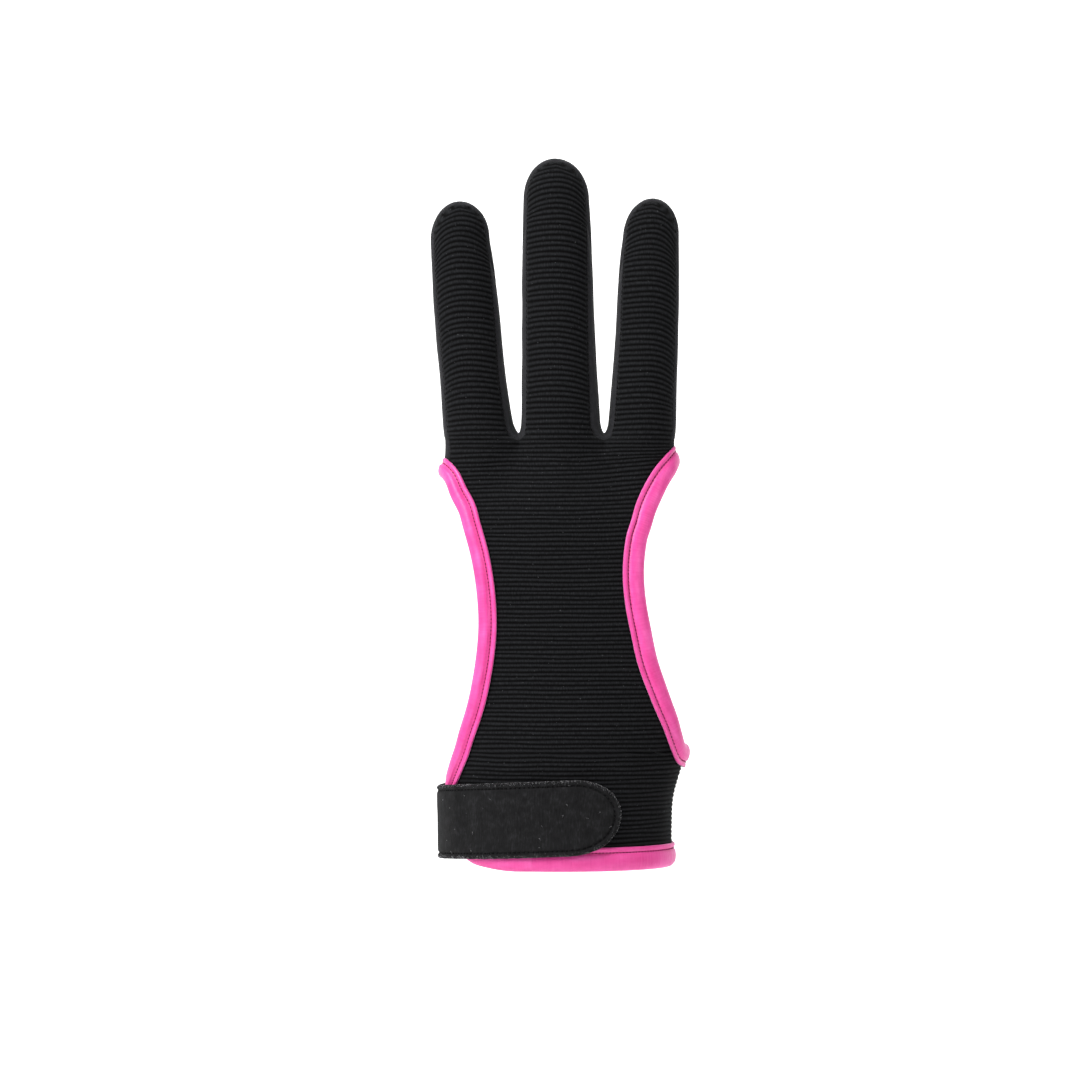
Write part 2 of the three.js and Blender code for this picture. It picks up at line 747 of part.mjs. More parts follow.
// Up the back's edge, over to the palm's and down it, then along the hem round the thumb side.
function littleStops() {
  const opening = OPENINGS.little;
  const up = edgeStops(opening, BACK);
  const over = crossStops(opening, opening.rows[opening.rows.length - 1], opening.top);
  const down = edgeStops(opening, PALM).reverse();
  const hem = [];
  const start = 180 + opening.rows[0].palm;
  const end = -opening.rows[0].back;
  const steps = Math.round((start - end) / HEM_STEP);
  for (let i = 1; i < steps; i += 1) {
    const angle = mix(start, end, i / steps);
    if (angle > 180) hem.push(stop(PALM, opening.bottom, 180 - angle));
    else hem.push(stop(BACK, opening.bottom, angle));
  }
  return [...up, ...over, ...down, ...hem].reverse();
}

const STRAP_ROWS = 4;
const STRAP_STEP = 10;
const STRAP_TIP_ROWS = [18, 36, 54, 72, 90];

// The strap, from its sewn end on the palm round the little-finger side to its round tip.
function strapSheet() {
  const sheet = new Sheet();
  const wristPerDegree = WRIST_WIDTH / 2 * radians(1);
  const tipStart = STRAP_TIP - STRAP_TIP_LENGTH / wristPerDegree;
  const steps = Math.round((tipStart - STRAP_START) / STRAP_STEP);
  const stations = [];
  for (let i = 0; i <= steps; i += 1) stations.push([mix(STRAP_START, tipStart, i / steps), 1]);
  for (const turn of STRAP_TIP_ROWS) {
    stations.push([mix(tipStart, STRAP_TIP, Math.sin(radians(turn))), Math.cos(radians(turn))]);
  }
  const columns = stations.map(([angle, share]) => {
    const rise = clamp((angle + 90) / (STRAP_TIP + 90), 0, 1);
    const centre = mix(STRAP_HEIGHT_AT_SIDE, STRAP_HEIGHT_AT_TIP, rise);
    const column = [];
    for (let i = 0; i <= STRAP_ROWS; i += 1) {
      const height = centre + STRAP_WIDTH * share * (i / STRAP_ROWS - 0.5);
      const name = share < 1e-6 ? 'tip' : `${angle} ${i}`;
      column.push(sheet.point(name, formPoint(BACK, height, angle)));
    }
    return column;
  });
  sheet.joinAll(columns);
  return sheet;
}

// The whole of a solid that a cut leaves, without loose crumbs.
function largest(solid) {
  const pieces = solid.decompose();
  return pieces.reduce((best, piece) => (piece.volume() > best.volume() ? piece : best));
}

function meshOf(name, solid, color, roughness) {
  const { vertProperties, triVerts } = solid.getMesh();
  const geometry = new THREE.BufferGeometry();
  geometry.setAttribute('position', new THREE.BufferAttribute(Float32Array.from(vertProperties), 3));
  geometry.setIndex(new THREE.BufferAttribute(Uint32Array.from(triVerts), 1));
  geometry.computeVertexNormals();
  const mesh = new THREE.Mesh(geometry, new THREE.MeshStandardMaterial({ color, roughness, metalness: 0 }));
  mesh.name = name;
  return mesh;
}

const RIB_BLACK = 0x1e1e20;
const PALM_BLACK = 0x1a1a1c;
const TAPE_PINK = 0xf050a5;
const STRAP_CHARCOAL = 0x2a2a2a;
const THUMB_STATIONS = 34;
const EDGE_STATIONS = 68;

const back = panelSheet(BACK);
const palm = panelSheet(PALM);
const strips = FORKS.map((_, number) => stripSheet(number));
const cutters = Object.values(OPENINGS).map((opening) => openingCutter(opening, 0));
const smallCutters = Object.values(OPENINGS).map((opening) => openingCutter(opening, CLEARANCE));

function cutBy(solid, tools) {
  return tools.reduce((left, tool) => left.subtract(tool), solid);
}

function panelSolid(sheet, wall, meets) {
  const whole = thicken(sheet, { outside: 0, inside: wall, inset: SEAM_GAP / 2, meets });
  return largest(cutBy(whole, cutters));
}

// A panel grown on all sides, so that what it cuts keeps clear of it.
function panelRoom(sheet, wall, meets) {
  const grown = { outside: CLEARANCE, inside: wall + CLEARANCE, inset: -CLEARANCE, meets };
  return cutBy(thicken(sheet, grown), smallCutters);
}

const backSolid = panelSolid(back, BACK_WALL, [palm, ...strips]);
const palmSolid = panelSolid(palm, PALM_WALL, [back, ...strips]);
const stripSolids = strips.map((sheet) => thicken(sheet, {
  outside: 0,
  inside: STRIP_WALL,
  inset: SEAM_GAP / 2,
  meets: [back, palm],
}));
const rooms = [panelRoom(back, BACK_WALL, [palm, ...strips]), panelRoom(palm, PALM_WALL, [back, ...strips])];

const thumbLine = tapeLine(thumbStops(), THUMB_STATIONS);
const edgeLine = tapeLine(littleStops(), EDGE_STATIONS);
const thumbSolid = largest(cutBy(tapeSolid(thumbLine, thumbTapeWidth, 0), rooms));
const edgeSolid = largest(cutBy(tapeSolid(edgeLine, edgeTapeWidth, 0), rooms));
const strapWhole = thicken(strapSheet(), { outside: STRAP_LIFT + STRAP_THICKNESS, inside: -STRAP_LIFT });
const strapSolid = largest(cutBy(strapWhole, [tapeSolid(edgeLine, edgeTapeWidth, CLEARANCE)]));

const glove = new THREE.Group();
glove.add(meshOf('back_panel', backSolid, RIB_BLACK, 0.9));
glove.add(meshOf('palm_panel', palmSolid, PALM_BLACK, 0.85));
glove.add(meshOf('fourchette_ring_middle', stripSolids[0], PALM_BLACK, 0.85));
glove.add(meshOf('fourchette_middle_index', stripSolids[1], PALM_BLACK, 0.85));
glove.add(meshOf('thumb_binding', thumbSolid, TAPE_PINK, 0.7));
glove.add(meshOf('edge_binding', edgeSolid, TAPE_PINK, 0.7));
glove.add(meshOf('wrist_strap', strapSolid, STRAP_CHARCOAL, 0.95));

export default glove;
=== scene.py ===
# %% [markdown]
# # A three-finger archery glove
# The glove covers the ring, middle and index fingers. Its back is a thick rib knit, its palm a
# smooth stretch cloth, and pink folded elastic binds the openings of the thumb and the little
# finger and the hem. A brushed strap closes it round the wrist.
#
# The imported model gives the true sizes. Each plain solid of it is replaced here by a piece that
# has the cloth's ribs, folds, stitches and fuzz, and that is shaped by the same tables.

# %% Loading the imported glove
import bisect
import math
import random

import bmesh
import bpy
from mathutils import Matrix, Vector, noise


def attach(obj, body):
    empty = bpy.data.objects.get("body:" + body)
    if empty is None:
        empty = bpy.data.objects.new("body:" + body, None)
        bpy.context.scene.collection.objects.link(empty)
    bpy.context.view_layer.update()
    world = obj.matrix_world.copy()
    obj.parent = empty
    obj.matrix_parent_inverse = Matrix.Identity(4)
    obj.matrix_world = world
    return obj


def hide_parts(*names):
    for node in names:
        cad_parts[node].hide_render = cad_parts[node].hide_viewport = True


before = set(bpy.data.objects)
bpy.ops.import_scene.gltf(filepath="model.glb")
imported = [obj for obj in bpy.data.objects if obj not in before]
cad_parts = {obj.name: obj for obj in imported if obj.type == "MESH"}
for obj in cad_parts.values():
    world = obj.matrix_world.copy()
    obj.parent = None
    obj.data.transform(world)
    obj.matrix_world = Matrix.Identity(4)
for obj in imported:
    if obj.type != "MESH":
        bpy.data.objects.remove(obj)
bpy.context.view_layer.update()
print("solids of the frame:", sorted(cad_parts))

# %% [markdown]
# ## The hand that the glove is shaped on
# Everything is worked out in millimetres, with +Z from the wrist to the fingertips, the back of
# the hand towards -Y and the thumb side towards +X. The tables hold shares of the named sizes, so
# that one size can change without the others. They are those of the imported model, because the
# cloth has to lie where the solids are.

# %% Sizes of the hand
FORK_HEIGHT = 116.8
FORK_ROUND = 2.5
FORK_DIP = 2
FORK_GAP = 1.5
WRIST_WIDTH = 60.4
WRIST_DEPTH = 42
PALM_WIDTH = 79.6
FINGER_DEPTH_SHARE = 0.93
FINGER_BEND = 3
MIDDLE_X = 0.3
MIDDLE_WIDTH = 21.8
RING_WIDTH = 19.4
INDEX_WIDTH = 18.6
BLEND_HEIGHT = 22
HEM_EDGE = 1.5
THUMB_OPENING_BOTTOM = 31
THUMB_OPENING_TOP = FORK_HEIGHT - 8.2
LITTLE_OPENING_TOP = FORK_HEIGHT - 10.6
SHAFT_BOTTOM = FORK_HEIGHT + FORK_ROUND
BODY_TOP = FORK_HEIGHT - FORK_DIP
TIP_SEAM = 63.26
SIDE_SEAM = 75
CUFF_SEAM = 104
STRIP_PALM_SEAM = 125
STRIP_END = 0.905
STRIP_CLOSES = 0.92
STRIP_NARROWS = 0.55
STRIP_RISE = 2
VALLEY = 0.36
BACK = -1
PALM = 1

# Each finger: its rows are (share of length, share of width, share of lean), and its two edges
# are (angle of the seam, whether a strip joins it to the next finger).
FINGERS = {
    "ring": {
        "x": MIDDLE_X - (MIDDLE_WIDTH / 2 + FORK_GAP + RING_WIDTH / 2), "width": RING_WIDTH,
        "length": 62.7, "lean": -5.2, "tip_lean": 0, "tip_length": 10.2,
        "left": (62.5, False), "right": (50, True),
        "rows": [(0, 1, 0), (0.23, 0.923, 0.33), (0.4, 0.918, 0.52), (0.57, 0.907, 0.71),
                 (0.74, 0.866, 0.885), (0.84, 0.825, 1)],
    },
    "middle": {
        "x": MIDDLE_X, "width": MIDDLE_WIDTH,
        "length": 74.3, "lean": -1.3, "tip_lean": -0.2, "tip_length": 11,
        "left": (61, True), "right": (47, True),
        "rows": [(0, 1, 0), (0.23, 0.931, 0.35), (0.4, 0.904, 0.6), (0.57, 0.881, 0.76),
                 (0.74, 0.849, 0.88), (0.85, 0.817, 1)],
    },
    "index": {
        "x": MIDDLE_X + (MIDDLE_WIDTH / 2 + FORK_GAP + INDEX_WIDTH / 2), "width": INDEX_WIDTH,
        "length": 63.5, "lean": 2.6, "tip_lean": 0.5, "tip_length": 10.4,
        "left": (56, True), "right": (63, False),
        "rows": [(0, 1, 0), (0.23, 0.946, 0.31), (0.4, 0.914, 0.54), (0.57, 0.903, 0.69),
                 (0.74, 0.86, 0.85), (0.84, 0.817, 1)],
    },
}
FORKS = [("ring", "middle"), ("middle", "index")]

# (share of the fork's height, share from wrist width to palm width, depth of the back, of the palm)
HAND_ROWS = [
    (0, 0, 1, 1), (0.09, 0, 1, 1), (0.156, 0.04, 1, 1), (0.208, 0.2, 0.976, 1),
    (0.268, 0.43, 0.95, 0.985), (0.336, 0.625, 0.91, 0.965), (0.413, 0.79, 0.857, 0.929),
    (0.516, 0.92, 0.815, 0.89), (0.627, 1, 0.776, 0.857), (0.756, 0.94, 0.72, 0.8),
    (0.841, 0.79, 0.667, 0.738), (0.91, 0.52, 0.61, 0.667), (0.944, 0.354, 0.571, 0.619),
    (1, 0.156, 0.524, 0.548),
]

# The cut edges of the two openings: (share of its height, angle on the back, on the palm)
LITTLE_EDGE = [
    (0, 28, 28), (0.008, 43, 43), (0.017, 52, 52), (0.053, 66.5, 66.5), (0.091, 72, 72),
    (0.139, 74, 74), (0.203, 71, 71), (0.25, 60, 60), (0.289, 52.3, 52.3), (0.329, 47.3, 47.3),
    (0.405, 39.5, 39.5), (0.481, 35, 35), (0.558, 32.3, 32.3), (0.626, 31.3, 31.3),
    (0.711, 32.3, 32.3), (0.787, 35, 35), (0.863, 39.8, 39.8), (0.902, 44, 44),
    (0.94, 54.3, 54.3), (0.978, 66, 66), (1, 79, 79),
]
THUMB_EDGE = [
    (0, 90, 76), (0.006, 82, 74.5), (0.016, 72, 72), (0.06, 63.8, 63.8), (0.112, 57.5, 57.5),
    (0.165, 51.5, 51.5), (0.217, 46.8, 46.8), (0.32, 39.8, 39.8), (0.423, 35.8, 35.8),
    (0.526, 32.8, 32.8), (0.629, 32, 32), (0.73, 33.8, 33.8), (0.783, 36.5, 36.5),
    (0.834, 40.3, 40.3), (0.886, 49, 49), (0.937, 60.8, 60.8), (0.98, 73, 73), (1, 82, 82),
]
OPENINGS = {
    -1: (LITTLE_EDGE, HEM_EDGE, LITTLE_OPENING_TOP),
    1: (THUMB_EDGE, THUMB_OPENING_BOTTOM, THUMB_OPENING_TOP),
}
print("fingers:", ", ".join(FINGERS))

# %% [markdown]
# ## Points on the hand
# A surface can be drawn by hand, or sampled from a few cross sections. Sections are used here,
# because then the ribs, the seams, the tape and the strap can all ask the same functions where
# the hand's surface is, and they never part from each other.

# %% Points on the hand
def mix(a, b, t):
    return a + (b - a) * t


def clamp(value, low=0.0, high=1.0):
    return min(max(value, low), high)


def smooth(value):
    t = clamp(value)
    return t * t * (3 - 2 * t)


def along(rows, column, at):
    """A column of a table at a place between its rows, on a smooth curve."""
    last = len(rows) - 1
    low = 0
    while low < last - 1 and at > rows[low + 1][0]:
        low += 1
    a, b = rows[low], rows[low + 1]
    before, after = rows[max(low - 1, 0)], rows[min(low + 2, last)]
    slope_a = (b[column] - before[column]) / (b[0] - before[0])
    slope_b = (after[column] - a[column]) / (after[0] - a[0])
    span = b[0] - a[0]
    t = (at - a[0]) / span
    if t < 0:
        return a[column] + slope_a * (at - a[0])
    if t > 1:
        return b[column] + slope_b * (at - b[0])
    rise = t * (1 - t) * (1 - t) * slope_a - t * t * (1 - t) * slope_b
    return mix(a[column], b[column], smooth(t)) + rise * span


print("share of the palm's widening half way up:", round(along(HAND_ROWS, 1, 0.5), 2))


# %% Points of the fingers
def finger_section(finger, height):
    """The centre, half width and half depth of a finger at a height."""
    share = (height - FORK_HEIGHT) / finger["length"]
    half_width = finger["width"] / 2 * along(finger["rows"], 1, share)
    x = finger["x"] + finger["lean"] * along(finger["rows"], 2, share)
    return x, FINGER_BEND * max(share, 0) ** 2, half_width, half_width * FINGER_DEPTH_SHARE


def tip_centre(finger):
    return FORK_HEIGHT + finger["length"] - finger["tip_length"]


def back_seam(edge, share):
    return mix(edge[0], TIP_SEAM, share)


def palm_seam(edge, share):
    if not edge[1]:
        return back_seam(edge, share)
    closing = smooth((share - STRIP_NARROWS) / (STRIP_CLOSES - STRIP_NARROWS))
    return mix(STRIP_PALM_SEAM, back_seam(edge, share), closing)


def finger_span(finger, side, share):
    """The angles of a panel's two seams on a finger, from the panel's own middle."""
    if side == BACK:
        return -back_seam(finger["left"], share), back_seam(finger["right"], share)
    return palm_seam(finger["left"], share) - 180, 180 - palm_seam(finger["right"], share)


def shaft_point(finger, side, height, angle):
    x, y, half_width, half_depth = finger_section(finger, height)
    turn = math.radians(angle)
    return Vector((x + half_width * math.sin(turn), y + side * half_depth * math.cos(turn), height))


def tip_point(finger, side, ring, share):
    """A point on the round tip, whose seam runs over it in one plane."""
    x, y, half_width, half_depth = finger_section(finger, tip_centre(finger))
    seam_depth = math.cos(math.radians(TIP_SEAM))
    lean = math.asin(seam_depth) * ring / 90
    lift = math.sin(math.radians(ring))
    radius = math.cos(math.radians(ring))
    seam = math.pi / 2
    if radius > 1e-6:
        ahead = (seam_depth - lift * math.sin(lean)) / (radius * math.cos(lean))
        seam = math.acos(clamp(ahead, -1))
    end = seam if side == BACK else math.pi - seam
    turn = mix(-end, end, share)
    across = radius * side * math.cos(turn)
    up = math.cos(lean) * lift + math.sin(lean) * across
    out = math.cos(lean) * across - math.sin(lean) * lift
    return Vector((
        x + half_width * radius * math.sin(turn) + finger["tip_lean"] * up,
        y + half_depth * out,
        tip_centre(finger) + finger["tip_length"] * up,
    ))


def fork_point(fork, side, height):
    """Where two fingers meet near the fork, on one side of the hand."""
    left, right = (FINGERS[name] for name in fork)
    section_left, section_right = finger_section(left, height), finger_section(right, height)
    seam_left = shaft_point(left, side, height, finger_span(left, side, 0)[1])
    seam_right = shaft_point(right, side, height, finger_span(right, side, 0)[0])
    x = (section_left[0] + section_left[2] + section_right[0] - section_right[2]) / 2
    return Vector((x, (seam_left.y + seam_right.y) / 2, height))


def finger_point(name, side, height, share, pull):
    """A point on a finger's panel. pull draws its inner edges together at the fork."""
    finger = FINGERS[name]
    shaft = clamp((height - SHAFT_BOTTOM) / (tip_centre(finger) - SHAFT_BOTTOM))
    left, right = finger_span(finger, side, shaft)
    point = shaft_point(finger, side, height, mix(left, right, share))
    if pull:
        for fork in FORKS:
            if name in fork:
                at_left = fork[1] == name
                edge = shaft_point(finger, side, height, left if at_left else right)
                shift = fork_point(fork, side, height) - edge
                point += shift * pull * ((1 - share) if at_left else share)
    return point


middle_tip = tip_point(FINGERS["middle"], BACK, 90, 0)
print("tip of the middle finger, mm:", tuple(round(n, 1) for n in middle_tip))


# %% Points below the forks
def side_seam(height, on_thumb_side):
    if not on_thumb_side:
        return SIDE_SEAM
    rise = (height - THUMB_OPENING_BOTTOM) / (THUMB_OPENING_TOP - THUMB_OPENING_BOTTOM)
    return mix(CUFF_SEAM, SIDE_SEAM, clamp(rise))


def panel_end(side, height, on_thumb_side):
    seam = side_seam(height, on_thumb_side)
    return seam if side == BACK else 180 - seam


def body_point(side, height, place):
    """A point of a panel below the fork. place runs from -1 at one side seam to 1 at the other."""
    share = height / FORK_HEIGHT
    turn = math.radians(place * panel_end(side, height, place > 0))
    facing = side * math.cos(turn)
    width = mix(WRIST_WIDTH, PALM_WIDTH, along(HAND_ROWS, 1, share)) / 2
    depth = WRIST_DEPTH / 2 * along(HAND_ROWS, 2 if facing < 0 else 3, share)
    plain = Vector((width * math.sin(turn), depth * facing, height))
    fade = smooth((BODY_TOP - height) / BLEND_HEIGHT)
    if fade == 1:
        return plain
    if place < -VALLEY:
        name, share = "ring", (place + 1) / (1 - VALLEY)
    elif place > VALLEY:
        name, share = "index", (place - VALLEY) / (1 - VALLEY)
    else:
        name, share = "middle", (place + VALLEY) / (2 * VALLEY)
    return finger_point(name, side, height, share, 1).lerp(plain, fade)


def form_point(side, height, angle):
    """A point of the hand's surface at an angle from the middle of a side, past its seams too."""
    end = panel_end(side, height, angle > 0)
    if abs(angle) <= end:
        return body_point(side, height, angle / end)
    rest = math.copysign(180 - abs(angle), angle)
    return body_point(-side, height, rest / panel_end(-side, height, angle > 0))


def form_normal(side, height, angle):
    step = 0.5
    across = form_point(side, height, angle + step) - form_point(side, height, angle - step)
    up = form_point(side, height + step, angle) - form_point(side, height - step, angle)
    return (up.cross(across) * side).normalized()


print("middle of the wrist's back, mm:", tuple(round(n, 1) for n in form_point(BACK, 0, 0)))

# %% [markdown]
# ## The camera
# The photograph looks level at the middle of the glove's back from about a metre away, so nearly
# straight on. A long lens at that distance gives the same slight perspective.

# %% The camera
CAMERA_PLACE = (-0.0054, -1.0, 0.08785)
SENSOR_WIDTH = 36
PHOTO_WIDTH = 291.6          # millimetres of the glove's plane that the photo is wide

camera_data = bpy.data.cameras.new("camera")
camera_data.sensor_width = SENSOR_WIDTH
camera_data.lens = SENSOR_WIDTH * 1000 / PHOTO_WIDTH
camera = bpy.data.objects.new("camera", camera_data)
camera.location = CAMERA_PLACE
camera.rotation_euler = (math.radians(90), 0, 0)
bpy.context.scene.collection.objects.link(camera)
bpy.context.scene.camera = camera
bpy.context.scene.view_settings.view_transform = "Standard"
print("lens, mm:", round(camera_data.lens, 1))

# %% [markdown]
# ## The studio
# The glove is held up by the hand in it, before a white sweep: a floor that curves up into a
# wall. The sweep glows behind the glove, as a lit studio paper does, so that it reads white, and
# less in front of it, because light from below would flatten the ribs. A large soft light from the
# upper left models the fingers, and a weaker one from the right keeps the black cloth from going
# flat.

# %% The studio
FLOOR = -0.25
WALL = 2.6
SWEEP_ROUND = 0.6
SWEEP_HALF_WIDTH = 8.0
SWEEP_FRONT = -8.0
SWEEP_TOP = 3.0
SWEEP_STEPS = 12
GLOW_STARTS, GLOW_FULL = 0.2, 1.2          # metres behind the glove
GLOW_BEFORE, GLOW_BEHIND = 0.22, 0.92      # how bright the paper is on either side of that


def srgb(code):
    """A web colour such as 'f050a5' as linear red, green, blue and alpha."""
    levels = [int(code[i:i + 2], 16) / 255 for i in (0, 2, 4)]
    linear = [v / 12.92 if v <= 0.04045 else ((v + 0.055) / 1.055) ** 2.4 for v in levels]
    return (*linear, 1.0)


def set_inputs(node, inputs):
    """Fills sockets with values or with nodes' outputs. A node stands for its first output."""
    for socket, value in inputs.items():
        if isinstance(value, bpy.types.Node):
            value = value.outputs[0]
        if isinstance(value, bpy.types.NodeSocket):
            node.id_data.links.new(value, node.inputs[socket])
        else:
            node.inputs[socket].default_value = value


def add_node(tree, kind, inputs=None, stops=(), **settings):
    """Adds a node with its settings and links. stops holds a colour ramp's (place, colour)."""
    node = tree.nodes.new("ShaderNode" + kind)
    for key, value in settings.items():
        setattr(node, key, value)
    if stops:
        points = node.color_ramp.elements
        while len(points) < len(stops):
            points.new(0.5)
        for point, (place, colour) in zip(points, stops):
            point.position = place
            point.color = srgb(colour)
    set_inputs(node, inputs or {})
    return node


def new_material(name):
    """A material with nothing in it but its shader."""
    material = bpy.data.materials.new(name)
    material.use_nodes = True
    return material, material.node_tree, material.node_tree.nodes["Principled BSDF"]


studio_paper, tree, shader = new_material("white_studio_paper")
place = add_node(tree, "TexCoord")
parts = add_node(tree, "SeparateXYZ", {"Vector": place.outputs["Object"]})
set_inputs(shader, {
    "Base Color": srgb("f6f6f6"), "Roughness": 0.9, "Emission Color": srgb("ffffff"),
    "Emission Strength": add_node(tree, "MapRange", {
        "Value": parts.outputs["Y"], "From Min": GLOW_STARTS, "From Max": GLOW_FULL,
        "To Min": GLOW_BEFORE, "To Max": GLOW_BEHIND,
    }),
})

sweep = bmesh.new()
line = [(SWEEP_FRONT, FLOOR)]
for step in range(SWEEP_STEPS + 1):
    turn = math.radians(90 * step / SWEEP_STEPS)
    along_floor, up_wall = math.sin(turn), 1 - math.cos(turn)
    line.append((WALL - SWEEP_ROUND + SWEEP_ROUND * along_floor, FLOOR + SWEEP_ROUND * up_wall))
line.append((WALL, SWEEP_TOP))
corners = [sweep.verts.new((-SWEEP_HALF_WIDTH, y, z)) for y, z in line]
edges = [sweep.edges.new(pair) for pair in zip(corners, corners[1:])]
wide = bmesh.ops.extrude_edge_only(sweep, edges=edges)
moved = [item for item in wide["geom"] if isinstance(item, bmesh.types.BMVert)]
bmesh.ops.translate(sweep, vec=(2 * SWEEP_HALF_WIDTH, 0, 0), verts=moved)
sweep_mesh = bpy.data.meshes.new("studio_sweep")
sweep.to_mesh(sweep_mesh)
sweep.free()
sweep_mesh.shade_smooth()
sweep_mesh.materials.append(studio_paper)
studio_sweep = bpy.data.objects.new("studio_sweep", sweep_mesh)
bpy.context.scene.collection.objects.link(studio_sweep)

GLOVE_MIDDLE = Vector((0, 0, 0.095))
LIGHTS = {
    "key_upper_left": ((-0.55, -0.45, 0.55), 0.45, 8.5),
    "fill_right": ((0.95, -0.8, 0.55), 0.9, 4.6),
    "top_soft": ((-0.1, -0.35, 1.2), 0.6, 4.0),
}
for name, (place, size, power) in LIGHTS.items():
    lamp = bpy.data.lights.new(name, "AREA")
    lamp.size = size
    lamp.energy = power
    light = bpy.data.objects.new(name, lamp)
    light.location = place
    light.rotation_euler = (GLOVE_MIDDLE - Vector(place)).to_track_quat("-Z", "Y").to_euler()
    bpy.context.scene.collection.objects.link(light)

world = bpy.data.worlds.new("soft_white_room")
world.use_nodes = True
set_inputs(world.node_tree.nodes["Background"], {"Color": srgb("ffffff"), "Strength": 0.2})
bpy.context.scene.world = world
print("lights:", ", ".join(LIGHTS))

# %% [markdown]
# ## The finishes
# Each finish starts from what the real one is. A pattern could be drawn in the object's space, but
# it would run straight on through a leaning finger. So each cloth's finish is tied to its piece's
# own UV map, in millimetres, and follows the cloth; the threads' twist is drawn in the object's
# space. On the ribbed back the map counts ribs upwards.
#
# ## The rib knit
# A polyester rib knit is matt, with a faint haze from its loose fibres. The crests of the ribs
# catch the light and the grooves between them stay nearly black. The ribs themselves are modelled,
# so this material only paints shade into the grooves, draws the yarn's loops as a bump and adds
# some lint.

# %% Rib knit
YARN_PITCH = 0.45            # millimetres from one knitted loop to the next along a rib
UNDER, OVER, MIXED = 6, 7, 2  # the two colour sockets of a Mix node, and its colour output


def waves(tree, part, pitch):
    """Ridges that repeat every pitch millimetres of one part of the UV map."""
    turns = add_node(tree, "Math", {0: part, 1: 2 * math.pi / pitch}, operation="MULTIPLY")
    return add_node(tree, "Math", {0: turns}, operation="SINE")


def mottle(tree, place, scale, detail, rough):
    """An uneven shade. scale says how fine it is across and along the cloth, to a millimetre."""
    stretched = add_node(tree, "Mapping", {"Vector": place, "Scale": (*scale, 1)})
    inputs = {"Vector": stretched, "Scale": 1.0, "Detail": detail, "Roughness": rough}
    return add_node(tree, "TexNoise", inputs)


rib_knit, tree, shader = new_material("black_polyester_rib_knit")
place = add_node(tree, "UVMap", uv_map="cloth")
parts = add_node(tree, "SeparateXYZ", {"Vector": place})
within_rib = add_node(tree, "Math", {0: parts.outputs["Y"]}, operation="FRACT")
off_crest = add_node(tree, "Math", {0: within_rib, 1: 2.0, 2: -1.0}, operation="MULTIPLY_ADD")
from_crest = add_node(tree, "Math", {0: off_crest}, operation="ABSOLUTE")
# Painted shade: the colour darkens from each rib's crest into its groove, where shade falls.
rib_groove_painted_shade = add_node(tree, "ValToRGB", {"Fac": from_crest}, stops=[
    (0.0, "27282a"), (0.4, "1d1e20"), (0.75, "0c0c0d"), (1.0, "020202"),
])
yarn = mottle(tree, place, (2.4, 1.1), 3.0, 0.6)
yarn_colour = add_node(tree, "ValToRGB", {"Fac": yarn}, stops=[(0.3, "9a9a9a"), (0.7, "ffffff")])
tinted = add_node(tree, "Mix", {
    "Factor": 1.0, UNDER: rib_groove_painted_shade, OVER: yarn_colour,
}, data_type="RGBA", blend_type="MULTIPLY")
lint = mottle(tree, place, (1.6, 2.3), 1.0, 0.4)
lint_mask = add_node(tree, "ValToRGB", {"Fac": lint}, stops=[(0.74, "000000"), (0.8, "ffffff")])
flecked = add_node(tree, "Mix", {
    "Factor": lint_mask, UNDER: tinted.outputs[MIXED], OVER: srgb("3e3f41"),
}, data_type="RGBA")
loops = waves(tree, parts.outputs["X"], YARN_PITCH)
loop_height = add_node(tree, "Math", {0: loops, 1: 0.25, 2: yarn}, operation="MULTIPLY_ADD")
set_inputs(shader, {
    "Base Color": flecked.outputs[MIXED], "Roughness": 0.88, "Specular IOR Level": 0.06,
    "Sheen Weight": 0.03, "Sheen Roughness": 0.5,
    "Normal": add_node(tree, "Bump", {"Height": loop_height, "Strength": 0.6, "Distance": 0.00012}),
})
print("finish:", rib_knit.name)

# %% [markdown]
# ## The smooth stretch cloth
# The palm and the strips are a stretch jersey of polyamide and elastane: fine vertical wales, a
# soft even sheen, and a slightly lighter black than the rib knit because it has no grooves. Its
# wales are too fine to model, so two waves in a bump draw them.

# %% Smooth stretch cloth
JERSEY_PITCH = 0.4           # millimetres between the wales of the jersey
stretch_cloth, tree, shader = new_material("black_stretch_jersey")
place = add_node(tree, "UVMap", uv_map="cloth")
parts = add_node(tree, "SeparateXYZ", {"Vector": place})
wales = waves(tree, parts.outputs["X"], JERSEY_PITCH)
courses = waves(tree, parts.outputs["Y"], JERSEY_PITCH)
weave = add_node(tree, "Math", {0: courses, 1: 0.5, 2: wales}, operation="MULTIPLY_ADD")
patches = mottle(tree, place, (0.9, 0.9), 4.0, 0.65)
cloth_colour = add_node(tree, "ValToRGB", {"Fac": patches}, stops=[
    (0.3, "232325"), (0.7, "303033"),
])
set_inputs(shader, {
    "Base Color": cloth_colour,
    "Roughness": 0.8, "Specular IOR Level": 0.12, "Sheen Weight": 0.06, "Sheen Roughness": 0.45,
    "Normal": add_node(tree, "Bump", {"Height": weave, "Strength": 0.25, "Distance": 0.00006}),
})
print("finish:", stretch_cloth.name)

# %% [markdown]
# ## The folded elastic
# Folded elastic is woven from shiny polyamide over rubber threads. It has a satin sheen that goes
# pale pink where the light strikes it, and fine ribs across its length. A sheen layer gives the
# first and a wave in the bump the second. Along the stitches the colour is darkened as painted
# shade in the furrow.

# %% Folded elastic tape
TAPE_RIB = 0.62              # millimetres between the cross ribs of the elastic
MARK_STEP = 0.6              # how much the UV map grows from one corner of the section to the next
FURROW = 5                   # the corner of the section that the stitches lie on

